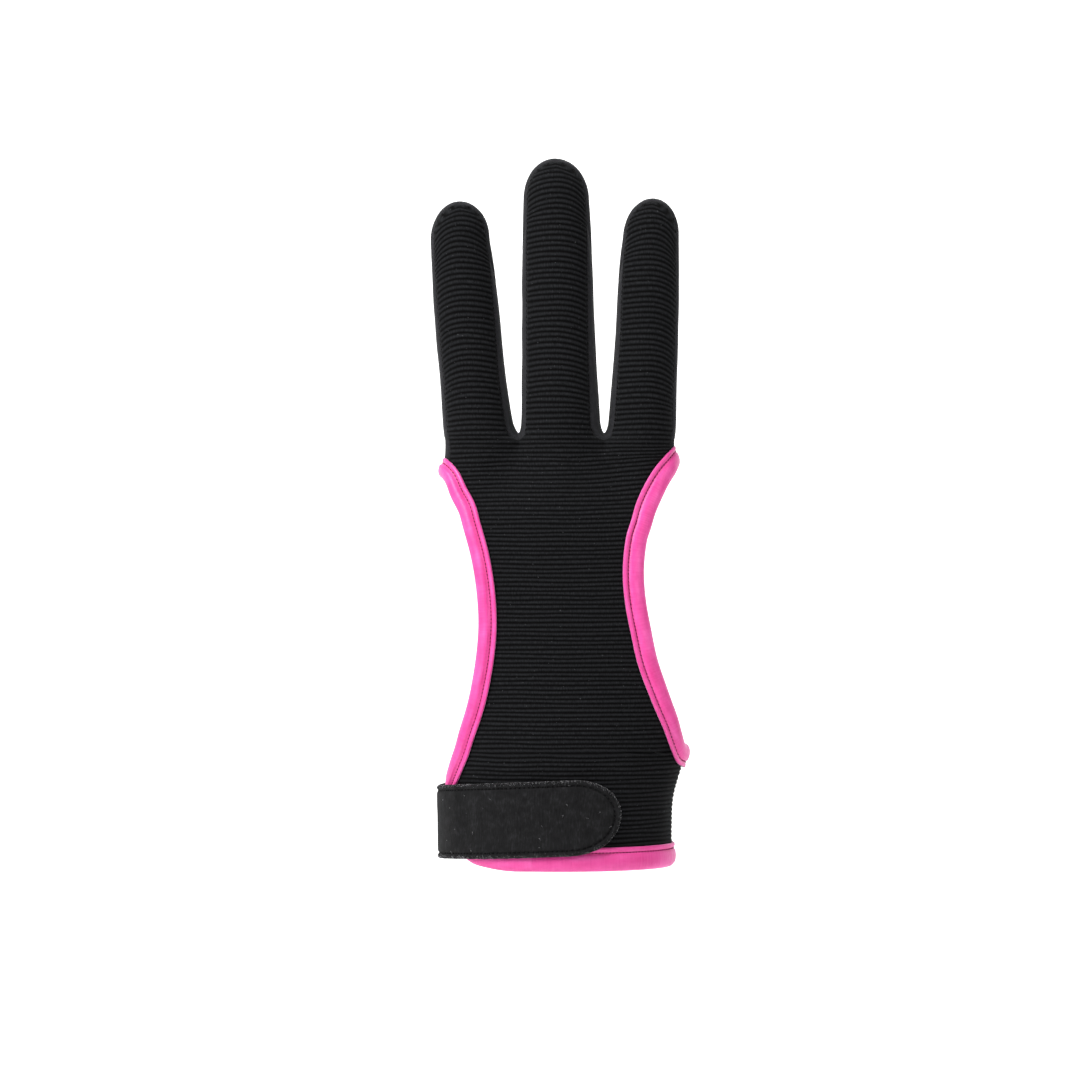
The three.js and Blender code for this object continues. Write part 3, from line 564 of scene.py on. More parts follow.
pink_elastic, tree, shader = new_material("pink_folded_elastic")
place = add_node(tree, "UVMap", uv_map="cloth")
parts = add_node(tree, "SeparateXYZ", {"Vector": place})
clouds = mottle(tree, place, (0.5, 0.12), 3.0, 0.5)
streaks = mottle(tree, place, (0.25, 1.6), 2.0, 0.5)
tape_shade = add_node(tree, "Math", {0: streaks, 1: 0.35, 2: clouds}, operation="MULTIPLY_ADD")
tape_colour = add_node(tree, "ValToRGB", {"Fac": tape_shade}, stops=[
    (0.4, "dc3089"), (0.68, "e8449b"), (0.95, "f05aae"),
])
# Painted shade: the tape's colour darkens towards the furrow that the stitches pull in.
off_furrow = add_node(tree, "Math", {
    0: parts.outputs["X"], 1: FURROW * MARK_STEP,
}, operation="SUBTRACT")
from_furrow = add_node(tree, "Math", {0: off_furrow}, operation="ABSOLUTE")
furrow_painted_shade = add_node(tree, "ValToRGB", {"Fac": from_furrow}, stops=[
    (0.05, "c884a6"), (0.45, "ffffff"),
])
shaded = add_node(tree, "Mix", {
    "Factor": 1.0, UNDER: tape_colour, OVER: furrow_painted_shade,
}, data_type="RGBA", blend_type="MULTIPLY")
ribs = waves(tree, parts.outputs["Y"], TAPE_RIB)
tape_height = add_node(tree, "Math", {0: streaks, 1: 1.2, 2: ribs}, operation="MULTIPLY_ADD")
tape_relief = add_node(tree, "Bump", {"Height": tape_height, "Strength": 0.16, "Distance": 0.00008})
set_inputs(shader, {
    "Base Color": shaded.outputs[MIXED], "Roughness": 0.45, "Specular IOR Level": 0.55,
    "Sheen Weight": 0.65, "Sheen Roughness": 0.35, "Sheen Tint": srgb("ffd0f2"),
    "Normal": tape_relief,
})
print("finish:", pink_elastic.name)

# %% [markdown]
# ## The brushed loop
# The loop side of a hook-and-loop strap is brushed, so it looks like felt: matt charcoal with
# short hairs that run across the strap, and a few that catch the light. Noise that is stretched
# one way draws them here, the lit ones as lighter streaks of painted highlight, and the longest
# hairs are modelled further on.

# %% Brushed loop strap
brushed_loop, tree, shader = new_material("charcoal_brushed_loop")
place = add_node(tree, "UVMap", uv_map="cloth")
nap = mottle(tree, place, (2.4, 0.5), 4.0, 0.65)
clumps = mottle(tree, place, (0.35, 0.35), 3.0, 0.6)
nap_share = add_node(tree, "Math", {0: nap, 1: 0.7}, operation="MULTIPLY")
felt_shade = add_node(tree, "Math", {0: clumps, 1: 0.6, 2: nap_share}, operation="MULTIPLY_ADD")
felt_colour = add_node(tree, "ValToRGB", {"Fac": felt_shade}, stops=[
    (0.45, "0f0f10"), (0.68, "19191a"), (0.9, "29292b"),
])
# Painted highlight: lighter streaks where hairs catch the light.
hairs = mottle(tree, place, (3.2, 0.4), 1.0, 0.4)
painted_hair_highlight = add_node(tree, "ValToRGB", {"Fac": hairs}, stops=[(0.72, "000000"), (0.84, "ffffff")])
haired = add_node(tree, "Mix", {
    "Factor": painted_hair_highlight, UNDER: felt_colour, OVER: srgb("343436"),
}, data_type="RGBA")
set_inputs(shader, {
    "Base Color": haired.outputs[MIXED], "Roughness": 0.95, "Specular IOR Level": 0.06,
    "Sheen Weight": 0.04, "Sheen Roughness": 0.6,
    "Normal": add_node(tree, "Bump", {"Height": felt_shade, "Strength": 0.7, "Distance": 0.0002}),
})
print("finish:", brushed_loop.name)

# %% [markdown]
# ## The threads
# The seams are sewn with twisted polyester thread, magenta on the tape and black elsewhere. Its
# turns could be modelled, but a stitch is only a few pixels long, so a wave texture draws them as
# bands of painted shade and highlight, four times as coarse as they are, because otherwise they
# wouldn't show.

# %% Sewing threads
THREAD_TWIST = 0.99          # millimetres from one turn of the twist to the next
WAVE_LENGTH = 200 * math.pi  # millimetres between the bands of a wave texture of scale 1


def thread_finish(name, dark, light):
    """Twisted polyester thread: a thin shine along it, broken by the twist, painted as light and
    dark bands.
    """
    material, tree, shader = new_material(name)
    twist = add_node(tree, "TexWave", {
        "Vector": add_node(tree, "TexCoord").outputs["Object"],
        "Scale": WAVE_LENGTH / THREAD_TWIST, "Distortion": 1.0,
    }, bands_direction="DIAGONAL").outputs["Fac"]
    # Painted shade and highlight: the colour bands dark and light along the turns of the twist.
    set_inputs(shader, {
        "Base Color": add_node(tree, "ValToRGB", {"Fac": twist}, stops=[(0.2, dark), (0.8, light)]),
        "Roughness": 0.6, "Specular IOR Level": 0.15,
        "Normal": add_node(tree, "Bump", {"Height": twist, "Strength": 0.4, "Distance": 0.00005}),
    })
    return material


magenta_thread = thread_finish("magenta_sewing_thread", "4e082c", "8a1450")
black_thread = thread_finish("black_sewing_thread", "060607", "161617")
fuzz_fibre = thread_finish("grey_loop_fibre", "5a5a5c", "a4a4a7")
print("threads:", magenta_thread.name, black_thread.name, fuzz_fibre.name)

# %% [markdown]
# ## Grids of cloth
# Cloth is a surface that is laid over a form, so each piece starts as a flat grid, whose
# crossings are then moved on to the hand. A flat grid keeps its rows, and on the back each row
# belongs to a rib.

# %% Grids of cloth
MM = 0.001                   # one millimetre in the scene's metres
WELD = 0.002                 # millimetres within which two crossings are one


def add_grid(bm, columns, rows, place):
    """Lays a grid whose crossing (i, j) is at place(i, j), and returns its crossings by (i, j)."""
    table = {}
    for vert in bmesh.ops.create_grid(bm, x_segments=columns, y_segments=rows, size=1)["verts"]:
        key = (round((vert.co.x + 1) / 2 * columns), round((vert.co.y + 1) / 2 * rows))
        table[key] = vert
        vert.co = place(*key)
    return table


def row_lengths(table, columns, rows):
    """How far each crossing is from the middle of its row, in millimetres."""
    result = {}
    for j in range(rows + 1):
        total = [0.0]
        for i in range(columns):
            total.append(total[-1] + (table[i + 1, j].co - table[i, j].co).length)
        for i in range(columns + 1):
            result[i, j] = total[i] - total[columns // 2]
    return result


def mark_loops(bm, table, mark):
    """Writes a grid's UV map, with mark(i, j) at crossing (i, j)."""
    layer = bm.loops.layers.uv.get("cloth") or bm.loops.layers.uv.new("cloth")
    marks = {vert: mark(*key) for key, vert in table.items()}
    for face in {face for vert in marks for face in vert.link_faces}:
        for loop in face.loops:
            loop[layer].uv = marks[loop.vert]


def push_out(bm, distance):
    """Moves each crossing out of the cloth by distance(crossing), in millimetres."""
    bm.normal_update()
    moves = [vert.normal * distance(vert) for vert in bm.verts]
    for vert, move in zip(bm.verts, moves):
        vert.co += move


def make_piece(name, bm, material):
    """Turns a bmesh in millimetres into a piece in metres that rides on the glove."""
    bmesh.ops.scale(bm, vec=(MM, MM, MM), verts=bm.verts)
    mesh = bpy.data.meshes.new(name)
    bm.to_mesh(mesh)
    bm.free()
    mesh.shade_smooth()
    mesh.materials.append(material)
    piece = bpy.data.objects.new(name, mesh)
    bpy.context.scene.collection.objects.link(piece)
    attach(piece, "root")
    print(name, "has", len(mesh.polygons), "faces")
    return piece


def add_wall(piece, thickness):
    """Gives a sheet its wall, on the inner side."""
    wall = piece.modifiers.new("wall", "SOLIDIFY")
    wall.thickness = thickness * MM
    wall.offset = -1


print("crossings that are merged are less than", WELD, "mm apart")


# %% Columns across a panel
CROWDING = 0.4               # how much the columns of a panel crowd towards its seams


def third_share(i, columns):
    """The share across a finger of its column i. Columns crowd towards the seams."""
    t = i / columns
    return mix(t, smooth(t), CROWDING)


def panel_limit(side, height, sign):
    """Where a panel ends on one side, as a place: at its seam, or at the edge of an opening."""
    rows, bottom, top = OPENINGS[sign]
    end = panel_end(side, height, sign > 0)
    if bottom <= height <= top:
        end = min(end, along(rows, 1 if side == BACK else 2, (height - bottom) / (top - bottom)))
    return end / panel_end(side, height, sign > 0)


def body_place(side, height, i, columns):
    """The place across a panel of column i out of three times columns."""
    third = min(i // columns, 2)
    share = third_share(i - third * columns, columns)
    sink = smooth((BODY_TOP - height) / BLEND_HEIGHT)
    left, right = panel_limit(side, height, -1), panel_limit(side, height, 1)
    valleys = (-mix(VALLEY, VALLEY * left, sink), mix(VALLEY, VALLEY * right, sink))
    ends = (-left, valleys[0], valleys[1], right)
    return mix(ends[third], ends[third + 1], share)


back_ends = [round(panel_limit(BACK, FORK_HEIGHT / 2, sign), 2) for sign in (-1, 1)]
print("how much of the way to its side seams the back reaches half way up:", back_ends)


# %% Rows up a finger
LINE_STEPS = 40              # stations up the straight part of a finger
TIP_TURN = 3                 # degrees between the stations over its tip


def finger_line(name, side):
    """Heights up the middle of a finger's panel and over its tip, with the length to each."""
    finger = FINGERS[name]
    top = tip_centre(finger)
    stations = [mix(BODY_TOP, top, n / LINE_STEPS) for n in range(LINE_STEPS + 1)]
    stations += [top + turn for turn in range(TIP_TURN, 91, TIP_TURN)]
    lengths = [0.0]
    for before, after in zip(stations, stations[1:]):
        step = panel_point(name, side, after, 0.5) - panel_point(name, side, before, 0.5)
        lengths.append(lengths[-1] + step.length)
    return stations, lengths


def panel_point(name, side, station, share):
    """A point of a finger's panel. Above the middle of the tip, a station counts degrees."""
    finger = FINGERS[name]
    top = tip_centre(finger)
    if station > top:
        return tip_point(finger, side, min(station - top, 90), share)
    pull = 0
    if station < SHAFT_BOTTOM:
        turn = math.asin(clamp((SHAFT_BOTTOM - station) / (SHAFT_BOTTOM - BODY_TOP)))
        pull = 1 - math.cos(turn)
    return finger_point(name, side, station, share, pull)


def station_at(line, length):
    """The station at a length up a finger's line."""
    stations, lengths = line
    low = clamp(bisect.bisect_right(lengths, length) - 1, 0, len(lengths) - 2)
    t = (length - lengths[low]) / (lengths[low + 1] - lengths[low])
    return mix(stations[low], stations[low + 1], clamp(t))


for name in FINGERS:
    print(name, "finger, mm up the middle of its back:", round(finger_line(name, BACK)[1][-1], 1))

# %% [markdown]
# ## The ribbed back
# The back is cut from a heavy rib knit with its ribs across the hand, about 150 of them from hem
# to fingertip. Ribs could be a bump in the material, but then the outline at the cuff and the
# seams would be smooth, and here they are scalloped. So each rib has four rows of the grid: the
# groove, two shoulders and the crest. On the ring and index fingers the cloth is twisted a little
# in wear, and the ribs droop towards the outside.

# %% The ribbed back
BODY_RIBS = 95
FINGER_RIB_PITCH = 1.45
BACK_COLUMNS = 24
ROWS_PER_RIB = 4
RIB_PLACES = (0.0, 0.2, 0.5, 0.8)
RIB_RELIEF = (-0.26, -0.03, 0.06, -0.02)
SEAM_ROLL = 0.7              # millimetres that a seam is drawn in
BACK_WALL = 1.2
# Below the forks the cloth bridges the valleys between the knuckles: over how many columns it is
# evened out, how far each one looks, and the millimetres below the fork where that begins
BRIDGE_COLUMNS = 12
BRIDGE_REACH = 5
BRIDGE_FADE = 6
# How far the ribs droop at the left and right seams of each finger, in millimetres, the length
# over which that grows, and how much more they droop over the last stretch, round the tip
RIB_DROOP = {"ring": (3.0, 1.0), "middle": (0.8, 2.2), "index": (0.4, 3.2)}
DROOP_LENGTH = 22
TIP_DROOP = 2.2
TIP_DROOP_LENGTH = 20
# Above the middle of the hand the ribs rise towards the index finger's side and sink a little
# towards the ring finger's, in millimetres
TILT_HEIGHT = 55
TILT_UP = 1.9
TILT_DOWN = 0.5
WAVER = 0.26                 # the unevenness of a rib, in millimetres
WAVER_EDGE = 3               # millimetres from a cut edge over which it fades


def rib_number(j):
    return j // ROWS_PER_RIB + RIB_PLACES[j % ROWS_PER_RIB]


def waver(across, rib, seed):
    """A small unevenness of a rib, in millimetres up."""
    return WAVER * noise.noise(Vector((across * 0.11, rib * 0.7, seed)))


def body_tilt(place, height):
    """How far a rib is lifted from level at a place across the hand."""
    rise = smooth((height - TILT_HEIGHT) / 30) * smooth((BODY_TOP - height) / 9)
    up = TILT_UP * smooth((place - 0.05) / 0.9)
    down = TILT_DOWN * smooth((-place - 0.3) / 0.7)
    return rise * (up - down)


print("ribs on the hand:", BODY_RIBS)

# %% The back of the hand
back = bmesh.new()
relief = back.verts.layers.float.new("relief")
seam = back.verts.layers.float.new("seam")
body_rows = BODY_RIBS * ROWS_PER_RIB
body_columns = 3 * BACK_COLUMNS


def body_crossing(i, j):
    level = HEM_EDGE + (BODY_TOP - HEM_EDGE) * rib_number(j) / BODY_RIBS
    if j == body_rows:
        level = BODY_TOP
    place = body_place(BACK, level, i, BACK_COLUMNS)
    edge = smooth((level - HEM_EDGE) / WAVER_EDGE) * smooth((BODY_TOP - level) / WAVER_EDGE)
    height = level + (body_tilt(place, level) + waver(place * 35, rib_number(j), 1.7)) * edge
    return body_point(BACK, height, body_place(BACK, height, i, BACK_COLUMNS))


table = add_grid(back, body_columns, body_rows, body_crossing)
for _ in range(2):
    bridged = {}
    for (i, j), vert in table.items():
        from_valley = min(abs(i - BACK_COLUMNS), abs(i - 2 * BACK_COLUMNS))
        if from_valley < BRIDGE_COLUMNS:
            near = [table[i + n, j].co.y for n in range(-BRIDGE_REACH, BRIDGE_REACH + 1)]
            weight = smooth((BODY_TOP - vert.co.z) / BRIDGE_FADE)
            weight *= smooth(2 - 2 * from_valley / BRIDGE_COLUMNS)
            bridged[vert] = mix(vert.co.y, sum(near) / len(near), weight)
    for vert, depth in bridged.items():
        vert.co.y = depth
across = row_lengths(table, body_columns, body_rows)
mark_loops(back, table, lambda i, j: (across[i, j], rib_number(j)))
for (i, j), vert in table.items():
    vert[relief] = RIB_RELIEF[j % ROWS_PER_RIB]
    if i in (0, body_columns):
        vert[seam] = 1.0
finger_starts = {
    name: across[BACK_COLUMNS // 2 + BACK_COLUMNS * n, body_rows] for n, name in enumerate(FINGERS)
}

print("width of the back at the forks, mm:", round(2 * across[body_columns, body_rows], 1))

# %% The backs of the fingers
for name, finger in FINGERS.items():
    line = finger_line(name, BACK)
    length = line[1][-1]
    ribs = round(length / FINGER_RIB_PITCH)
    rows = ribs * ROWS_PER_RIB
    droop_left, droop_right = RIB_DROOP[name]

    def finger_crossing(i, j):
        share = third_share(i, BACK_COLUMNS)
        up = length * rib_number(j) / ribs if j < rows else length
        side_share = 2 * share - 1
        droop = (droop_left if side_share < 0 else droop_right) * smooth(up / DROOP_LENGTH)
        droop += TIP_DROOP * smooth((up - length + TIP_DROOP_LENGTH) / 10)
        droop *= side_share ** 2
        edge = smooth((length - up) / max(1.7 * droop, 0.5))
        uneven = waver(side_share * 9 + finger["x"], rib_number(j), 5.3) * smooth(up / WAVER_EDGE)
        up += (uneven - droop) * edge
        return panel_point(name, BACK, station_at(line, up), share)

    table = add_grid(back, BACK_COLUMNS, rows, finger_crossing)
    lengths = row_lengths(table, BACK_COLUMNS, rows)
    start = finger_starts[name]
    mark_loops(back, table, lambda i, j: (start + lengths[i, j], rib_number(j)))
    for (i, j), vert in table.items():
        vert[relief] = RIB_RELIEF[j % ROWS_PER_RIB]
        if i in (0, BACK_COLUMNS) and j > 0:
            vert[seam] = smooth(j / ROWS_PER_RIB / 3)
        if j == rows:
            vert[seam] = 1.0
    print(name, "finger has", ribs, "ribs")

bmesh.ops.remove_doubles(back, verts=back.verts, dist=WELD)
push_out(back, lambda vert: vert[relief] - SEAM_ROLL * vert[seam])
ribbed_back = make_piece("ribbed_back", back, rib_knit)
add_wall(ribbed_back, BACK_WALL)
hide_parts("back_panel")

# %% [markdown]
# ## The palm
# The photograph doesn't show the palm. On gloves of this kind it is one smooth stretch cloth,
# which lets the fingers feel the string, so it is made plainly: the same surface without ribs,
# with a soft seam where it meets the back.

# %% The palm
PALM_COLUMNS = 16
PALM_ROW = 1.3
PALM_WALL = 1.1
SEAM_FADE = 4                # millimetres over which the seams of a finger begin above the hand


def soft_fold(point):
    """Slight unevenness of stretched cloth, in millimetres outwards."""
    return 0.12 * noise.noise(point * 0.11) + 0.03 * noise.noise(point * 0.6)


palm = bmesh.new()
seam = palm.verts.layers.float.new("seam")
palm_rows = round((BODY_TOP - HEM_EDGE) / PALM_ROW)
palm_columns = 3 * PALM_COLUMNS


def palm_crossing(i, j):
    height = mix(HEM_EDGE, BODY_TOP, j / palm_rows)
    return body_point(PALM, height, body_place(PALM, height, palm_columns - i, PALM_COLUMNS))


table = add_grid(palm, palm_columns, palm_rows, palm_crossing)
across = row_lengths(table, palm_columns, palm_rows)
mark_loops(palm, table, lambda i, j: (across[i, j], table[i, j].co.z))
for (i, j), vert in table.items():
    if i in (0, palm_columns):
        vert[seam] = 1.0
for name in FINGERS:
    line = finger_line(name, PALM)
    rows = round(line[1][-1] / PALM_ROW)

    def palm_finger_crossing(i, j):
        share = third_share(PALM_COLUMNS - i, PALM_COLUMNS)
        return panel_point(name, PALM, station_at(line, line[1][-1] * j / rows), share)

    table = add_grid(palm, PALM_COLUMNS, rows, palm_finger_crossing)
    lengths = row_lengths(table, PALM_COLUMNS, rows)
    mark_loops(palm, table, lambda i, j: (lengths[i, j], table[i, j].co.z))
    for (i, j), vert in table.items():
        if i in (0, PALM_COLUMNS) and j > 0:
            vert[seam] = smooth(j * PALM_ROW / SEAM_FADE)
        if j == rows:
            vert[seam] = 1.0
bmesh.ops.remove_doubles(palm, verts=palm.verts, dist=WELD)
push_out(palm, lambda vert: soft_fold(vert.co) - SEAM_ROLL * vert[seam])
smooth_palm = make_piece("smooth_palm", palm, stretch_cloth)
add_wall(smooth_palm, PALM_WALL)
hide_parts("palm_panel")

# %% [markdown]
# ## The strips between the fingers
# A narrow strip of the smooth cloth, which glove makers call a fourchette, runs down the side of
# one finger, round the fork and up the next. It gives the fingers their depth.

# %% The strips between the fingers
STRIP_COLUMNS = 8
STRIP_WALL = 1
STRIP_ROW = 1.2              # millimetres to a row of the strip
STRIP_ROLL = 0.8 * SEAM_ROLL
FORK_TURN = 9                # degrees between the rows round a fork


def strip_stations(names):
    """Down one finger, round the fork and up the other: (finger, edge, height, pull)."""
    stations = []
    for name, edge in zip(names, ("right", "left")):
        top = mix(SHAFT_BOTTOM, tip_centre(FINGERS[name]), STRIP_END)
        down = [(mix(top, SHAFT_BOTTOM, n / LINE_STEPS), 0.0) for n in range(LINE_STEPS + 1)]
        for degrees in range(FORK_TURN, 91 if edge == "right" else 90, FORK_TURN):
            turn = math.radians(degrees)
            down.append((mix(SHAFT_BOTTOM, BODY_TOP, math.sin(turn)), 1 - math.cos(turn)))
        side = [(name, edge, height, pull) for height, pull in down]
        stations += side if edge == "right" else side[::-1]
    return stations


def strip_point(names, station, t):
    """A point of a strip, with t across it from the back to the palm. It arches up at the fork."""
    name, edge, height, pull = station
    finger = FINGERS[name]
    shaft = clamp((height - SHAFT_BOTTOM) / (tip_centre(finger) - SHAFT_BOTTOM))
    sign = 1 if edge == "right" else -1
    angle = mix(back_seam(finger[edge], shaft), palm_seam(finger[edge], shaft), t)
    point = shaft_point(finger, BACK, height, sign * angle)
    middle = fork_point(names, BACK, height).lerp(fork_point(names, PALM, height), t)
    point = point.lerp(middle, pull)
    down = clamp((SHAFT_BOTTOM - height) / (SHAFT_BOTTOM - BODY_TOP))
    point.z += STRIP_RISE * 4 * t * (1 - t) * down
    return point


for names, node in zip(FORKS, ("fourchette_ring_middle", "fourchette_middle_index")):
    strip = bmesh.new()
    seam = strip.verts.layers.float.new("seam")
    stations = strip_stations(names)
    rows = len(stations) - 1

    def strip_crossing(i, j):
        return strip_point(names, stations[rows - j], i / STRIP_COLUMNS)

    table = add_grid(strip, STRIP_COLUMNS, rows, strip_crossing)
    across = row_lengths(table, STRIP_COLUMNS, rows)
    mark_loops(strip, table, lambda i, j: (across[i, j], j * STRIP_ROW))
    for (i, j), vert in table.items():
        if i in (0, STRIP_COLUMNS):
            vert[seam] = 1.0
    push_out(strip, lambda vert: soft_fold(vert.co) - STRIP_ROLL * vert[seam])
    piece = make_piece(node.replace("fourchette", "strip"), strip, stretch_cloth)
    add_wall(piece, STRIP_WALL)
    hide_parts(node)

# %% [markdown]
# ## The seams of the fingers
# The ribbed back ends in a seam along both sides of each finger and over its tip. The sewing pulls
# the seam in, and a stitch lies beside the end of each rib, so that the line looks knotted. Each
# stitch is a bead of thread in the crease, squeezed from a small sphere.

# %% The seams of the fingers
SEAM_SINK = 0.15             # millimetres that a stitch lies below the hand's form
SEAM_STITCH = (0.58, 0.26, 0.2)            # half its length, width and height
SEAM_STITCH_SPAN = 0.2       # the share of a rib from a stitch's middle to the points that turn it


def add_stitch(bm, middle, run, normal, size):
    """One stitch: a short bead of thread. size is half its length, width and height."""
    side = normal.cross(run).normalized()
    turn = Matrix((run, side, run.cross(side))).transposed().to_4x4()
    bmesh.ops.create_uvsphere(
        bm, u_segments=6, v_segments=4, radius=1,
        matrix=Matrix.Translation(middle) @ turn @ Matrix.Diagonal((*size, 1)),
    )


def finger_outwards(finger, point):
    """The direction out of a finger at a point of its surface."""
    height = min(point.z, tip_centre(finger))
    x, y, _, _ = finger_section(finger, height)
    return (point - Vector((x, y, height))).normalized()


finger_seams = bmesh.new()
for name, finger in FINGERS.items():
    line = finger_line(name, BACK)
    stitches = round(line[1][-1] / FINGER_RIB_PITCH)
    for share in (0, 1):
        for n in range(2, stitches):
            before, after = (
                panel_point(name, BACK, station_at(line, (n + step) * FINGER_RIB_PITCH), share)
                for step in (-SEAM_STITCH_SPAN, SEAM_STITCH_SPAN)
            )
            middle = (before + after) / 2
            out = finger_outwards(finger, middle)
            run = (after - before).normalized()
            add_stitch(finger_seams, middle - out * SEAM_SINK, run, out, SEAM_STITCH)
make_piece("finger_seam_stitches", finger_seams, black_thread)

# %% [markdown]
# ## The folded tape
# Folded elastic is a flat band, creased along its middle, that grips the cut edge between its two
# halves and is sewn through all of them. It shows three forms: a thin lip beyond the sewing, the
# furrow that the thread pulls, and the puffed roll out to the fold. The section is swept along
# the opening in steps of a third of a stitch, so that each stitch can pucker it.

# %% The folded tape
TAPE_FOLD = 1.5
THUMB_TAPE_WIDTH = 6.1
LITTLE_TAPE_WIDTH = 5.3
HEM_TAPE_WIDTH = 6.4
WRIST_TURN = 14              # millimetres above the hem over which the two widths meet
HEM_STOP = 14                # degrees between the points that the hem's line runs through
STITCH_PITCH = 0.96
STEPS_PER_STITCH = 3
TAPE_STITCH = (0.26, 0.2, 0.17)            # half its length, width and height
STITCH_LIFT = 0.08           # millimetres that a stitch stands out of the furrow
PUCKER = 0.22                # millimetres that a stitch pulls the furrow in
PUFFS_ABOVE = 1.2            # only the corners higher than this are puffed and gathered
HEM_GATHER = 0.08            # how deep the gathers of the hem are, up to the height where they end
HEM_GATHER_TOP = 9
TAPE_SAMPLES = 3000
TAPE_EASE = 10               # samples on each side over which the line is evened out, about 1 mm
# The corners of the section's outer half, in millimetres: how far in from the panel's side for
# the lip, how far in from the fold for the roll, and how far above the middle of the wall. The
# inner half is a little flatter, and the cloth goes into the slot between them.
LIP = [
    (0.0, 0.72), (0.0, 1.12), (0.22, 1.36), (0.7, 1.4), (1.1, 1.22), (1.42, 1.0), (1.75, 1.24),
    (2.15, 1.56),
]
ROLL = [(3.1, 1.7), (2.2, 1.66), (1.3, 1.46), (0.6, 1.08), (0.14, 0.56)]
INNER_SHARE = 0.92
SLOT_DEPTH = 0.9
SLOT_HALF = 0.62
INNER_FURROW = 2 * (len(LIP) + len(ROLL)) - FURROW


def tape_section(width):
    """The closed section of a tape, as (across, up), from the back panel's side round the fold."""
    high = width - TAPE_FOLD
    outer = [(high - a, up) for a, up in LIP] + [(a - TAPE_FOLD, up) for a, up in ROLL]
    inner = [(a, -up * INNER_SHARE) for a, up in reversed(outer)]
    slot = [(high - SLOT_DEPTH, -SLOT_HALF), (high - SLOT_DEPTH, SLOT_HALF)]
    return outer + [(-TAPE_FOLD, 0.0)] + inner + slot


print("corners of the tape's section:", len(tape_section(HEM_TAPE_WIDTH)))


# %% Where the tape runs
def stop(side, height, angle):
    """A point that the tape runs through, and the direction out of the hand there."""
    return form_point(side, height, angle), form_normal(side, height, angle)


def tape_stops(sign):
    """Up the edge on the back, over to the palm and down again, then back along the bottom."""
    rows, bottom, top = OPENINGS[sign]
    stops = [stop(BACK, mix(bottom, top, at), sign * back) for at, back, _ in rows]
    _, last_back, last_palm = rows[-1]
    stops += [stop(BACK, top, sign * mix(last_back, 180 - last_palm, t)) for t in (0.33, 0.67)]
    stops += [stop(PALM, mix(bottom, top, at), sign * palm) for at, _, palm in reversed(rows)]
    _, first_back, first_palm = rows[0]
    if sign > 0:
        stops += [stop(BACK, bottom, mix(first_back, 180 - first_palm, t)) for t in (0.67, 0.33)]
        return stops
    start, end = 180 + first_palm, -first_back
    steps = round((start - end) / HEM_STOP)
    for n in range(1, steps):
        angle = mix(start, end, n / steps)
        stops.append(stop(PALM, bottom, 180 - angle) if angle > 180 else stop(BACK, bottom, angle))
    return stops[::-1]


def eased(values, reach):
    """A closed row of vectors, each the average of its neighbours, which rounds the corners."""
    total = sum((values[n] for n in range(-reach, reach + 1)), Vector((0, 0, 0)))
    result = []
    for n in range(len(values)):
        result.append(total / (2 * reach + 1))
        total = total + values[(n + reach + 1) % len(values)] - values[n - reach]
    return result


def tape_line(stops, pitch):
    """Even stations round a closed line: (place, direction out of the cloth, direction along)."""
    count = len(stops)
    at = [0.0]
    for n in range(count):
        at.append(at[-1] + (stops[(n + 1) % count][0] - stops[n][0]).length)
    total = at[-1]
    rows = []
    for n in range(-2, count + 3):
        place, normal = stops[n % count]
        rows.append((at[n % count] + total * (n // count), *place, *normal))
    fine = [rows_at(rows, total * n / TAPE_SAMPLES) for n in range(TAPE_SAMPLES)]
    places, normals = ([row[part] for row in fine] for part in (0, 1))
    for _ in range(2):
        places, normals = eased(places, TAPE_EASE), eased(normals, TAPE_EASE)
    fine = list(zip(places, normals))
    fine.append(fine[0])
    lengths = [0.0]
    for before, after in zip(fine, fine[1:]):
        lengths.append(lengths[-1] + (after[0] - before[0]).length)
    steps = round(lengths[-1] / pitch) * STEPS_PER_STITCH
    stations = []
    for n in range(steps):
        goal = lengths[-1] * n / steps
        low = clamp(bisect.bisect_right(lengths, goal) - 1, 0, len(fine) - 2)
        t = (goal - lengths[low]) / (lengths[low + 1] - lengths[low])
        place = fine[low][0].lerp(fine[low + 1][0], t)
        run = (fine[low + 1][0] - fine[low][0]).normalized()
        normal = fine[low][1].lerp(fine[low + 1][1], t)
        normal = (normal - run * normal.dot(run)).normalized()
        stations.append((place, normal, run))
    return stations, lengths[-1] / steps


def rows_at(rows, at):
    """The place and normal at a length of a closed line's rows."""
    low = clamp(bisect.bisect_right(rows, (at,)) - 1, 1, len(rows) - 3)
    near = rows[low - 1:low + 3]
    values = [along(near, column, at) for column in range(1, 7)]
    return Vector(values[:3]), Vector(values[3:])


print("points that the thumb's tape runs through:", len(tape_stops(1)))


# %% Sweeping and sewing the tape
def edge_width(place):
    return mix(HEM_TAPE_WIDTH, LITTLE_TAPE_WIDTH, smooth((place.z - HEM_EDGE) / WRIST_TURN))


def hem_gathers(place):
    """How deep the stitches gather the tape. They do so at the hem, not beside the openings."""
    return HEM_GATHER * smooth((HEM_GATHER_TOP - place.z) / 5)


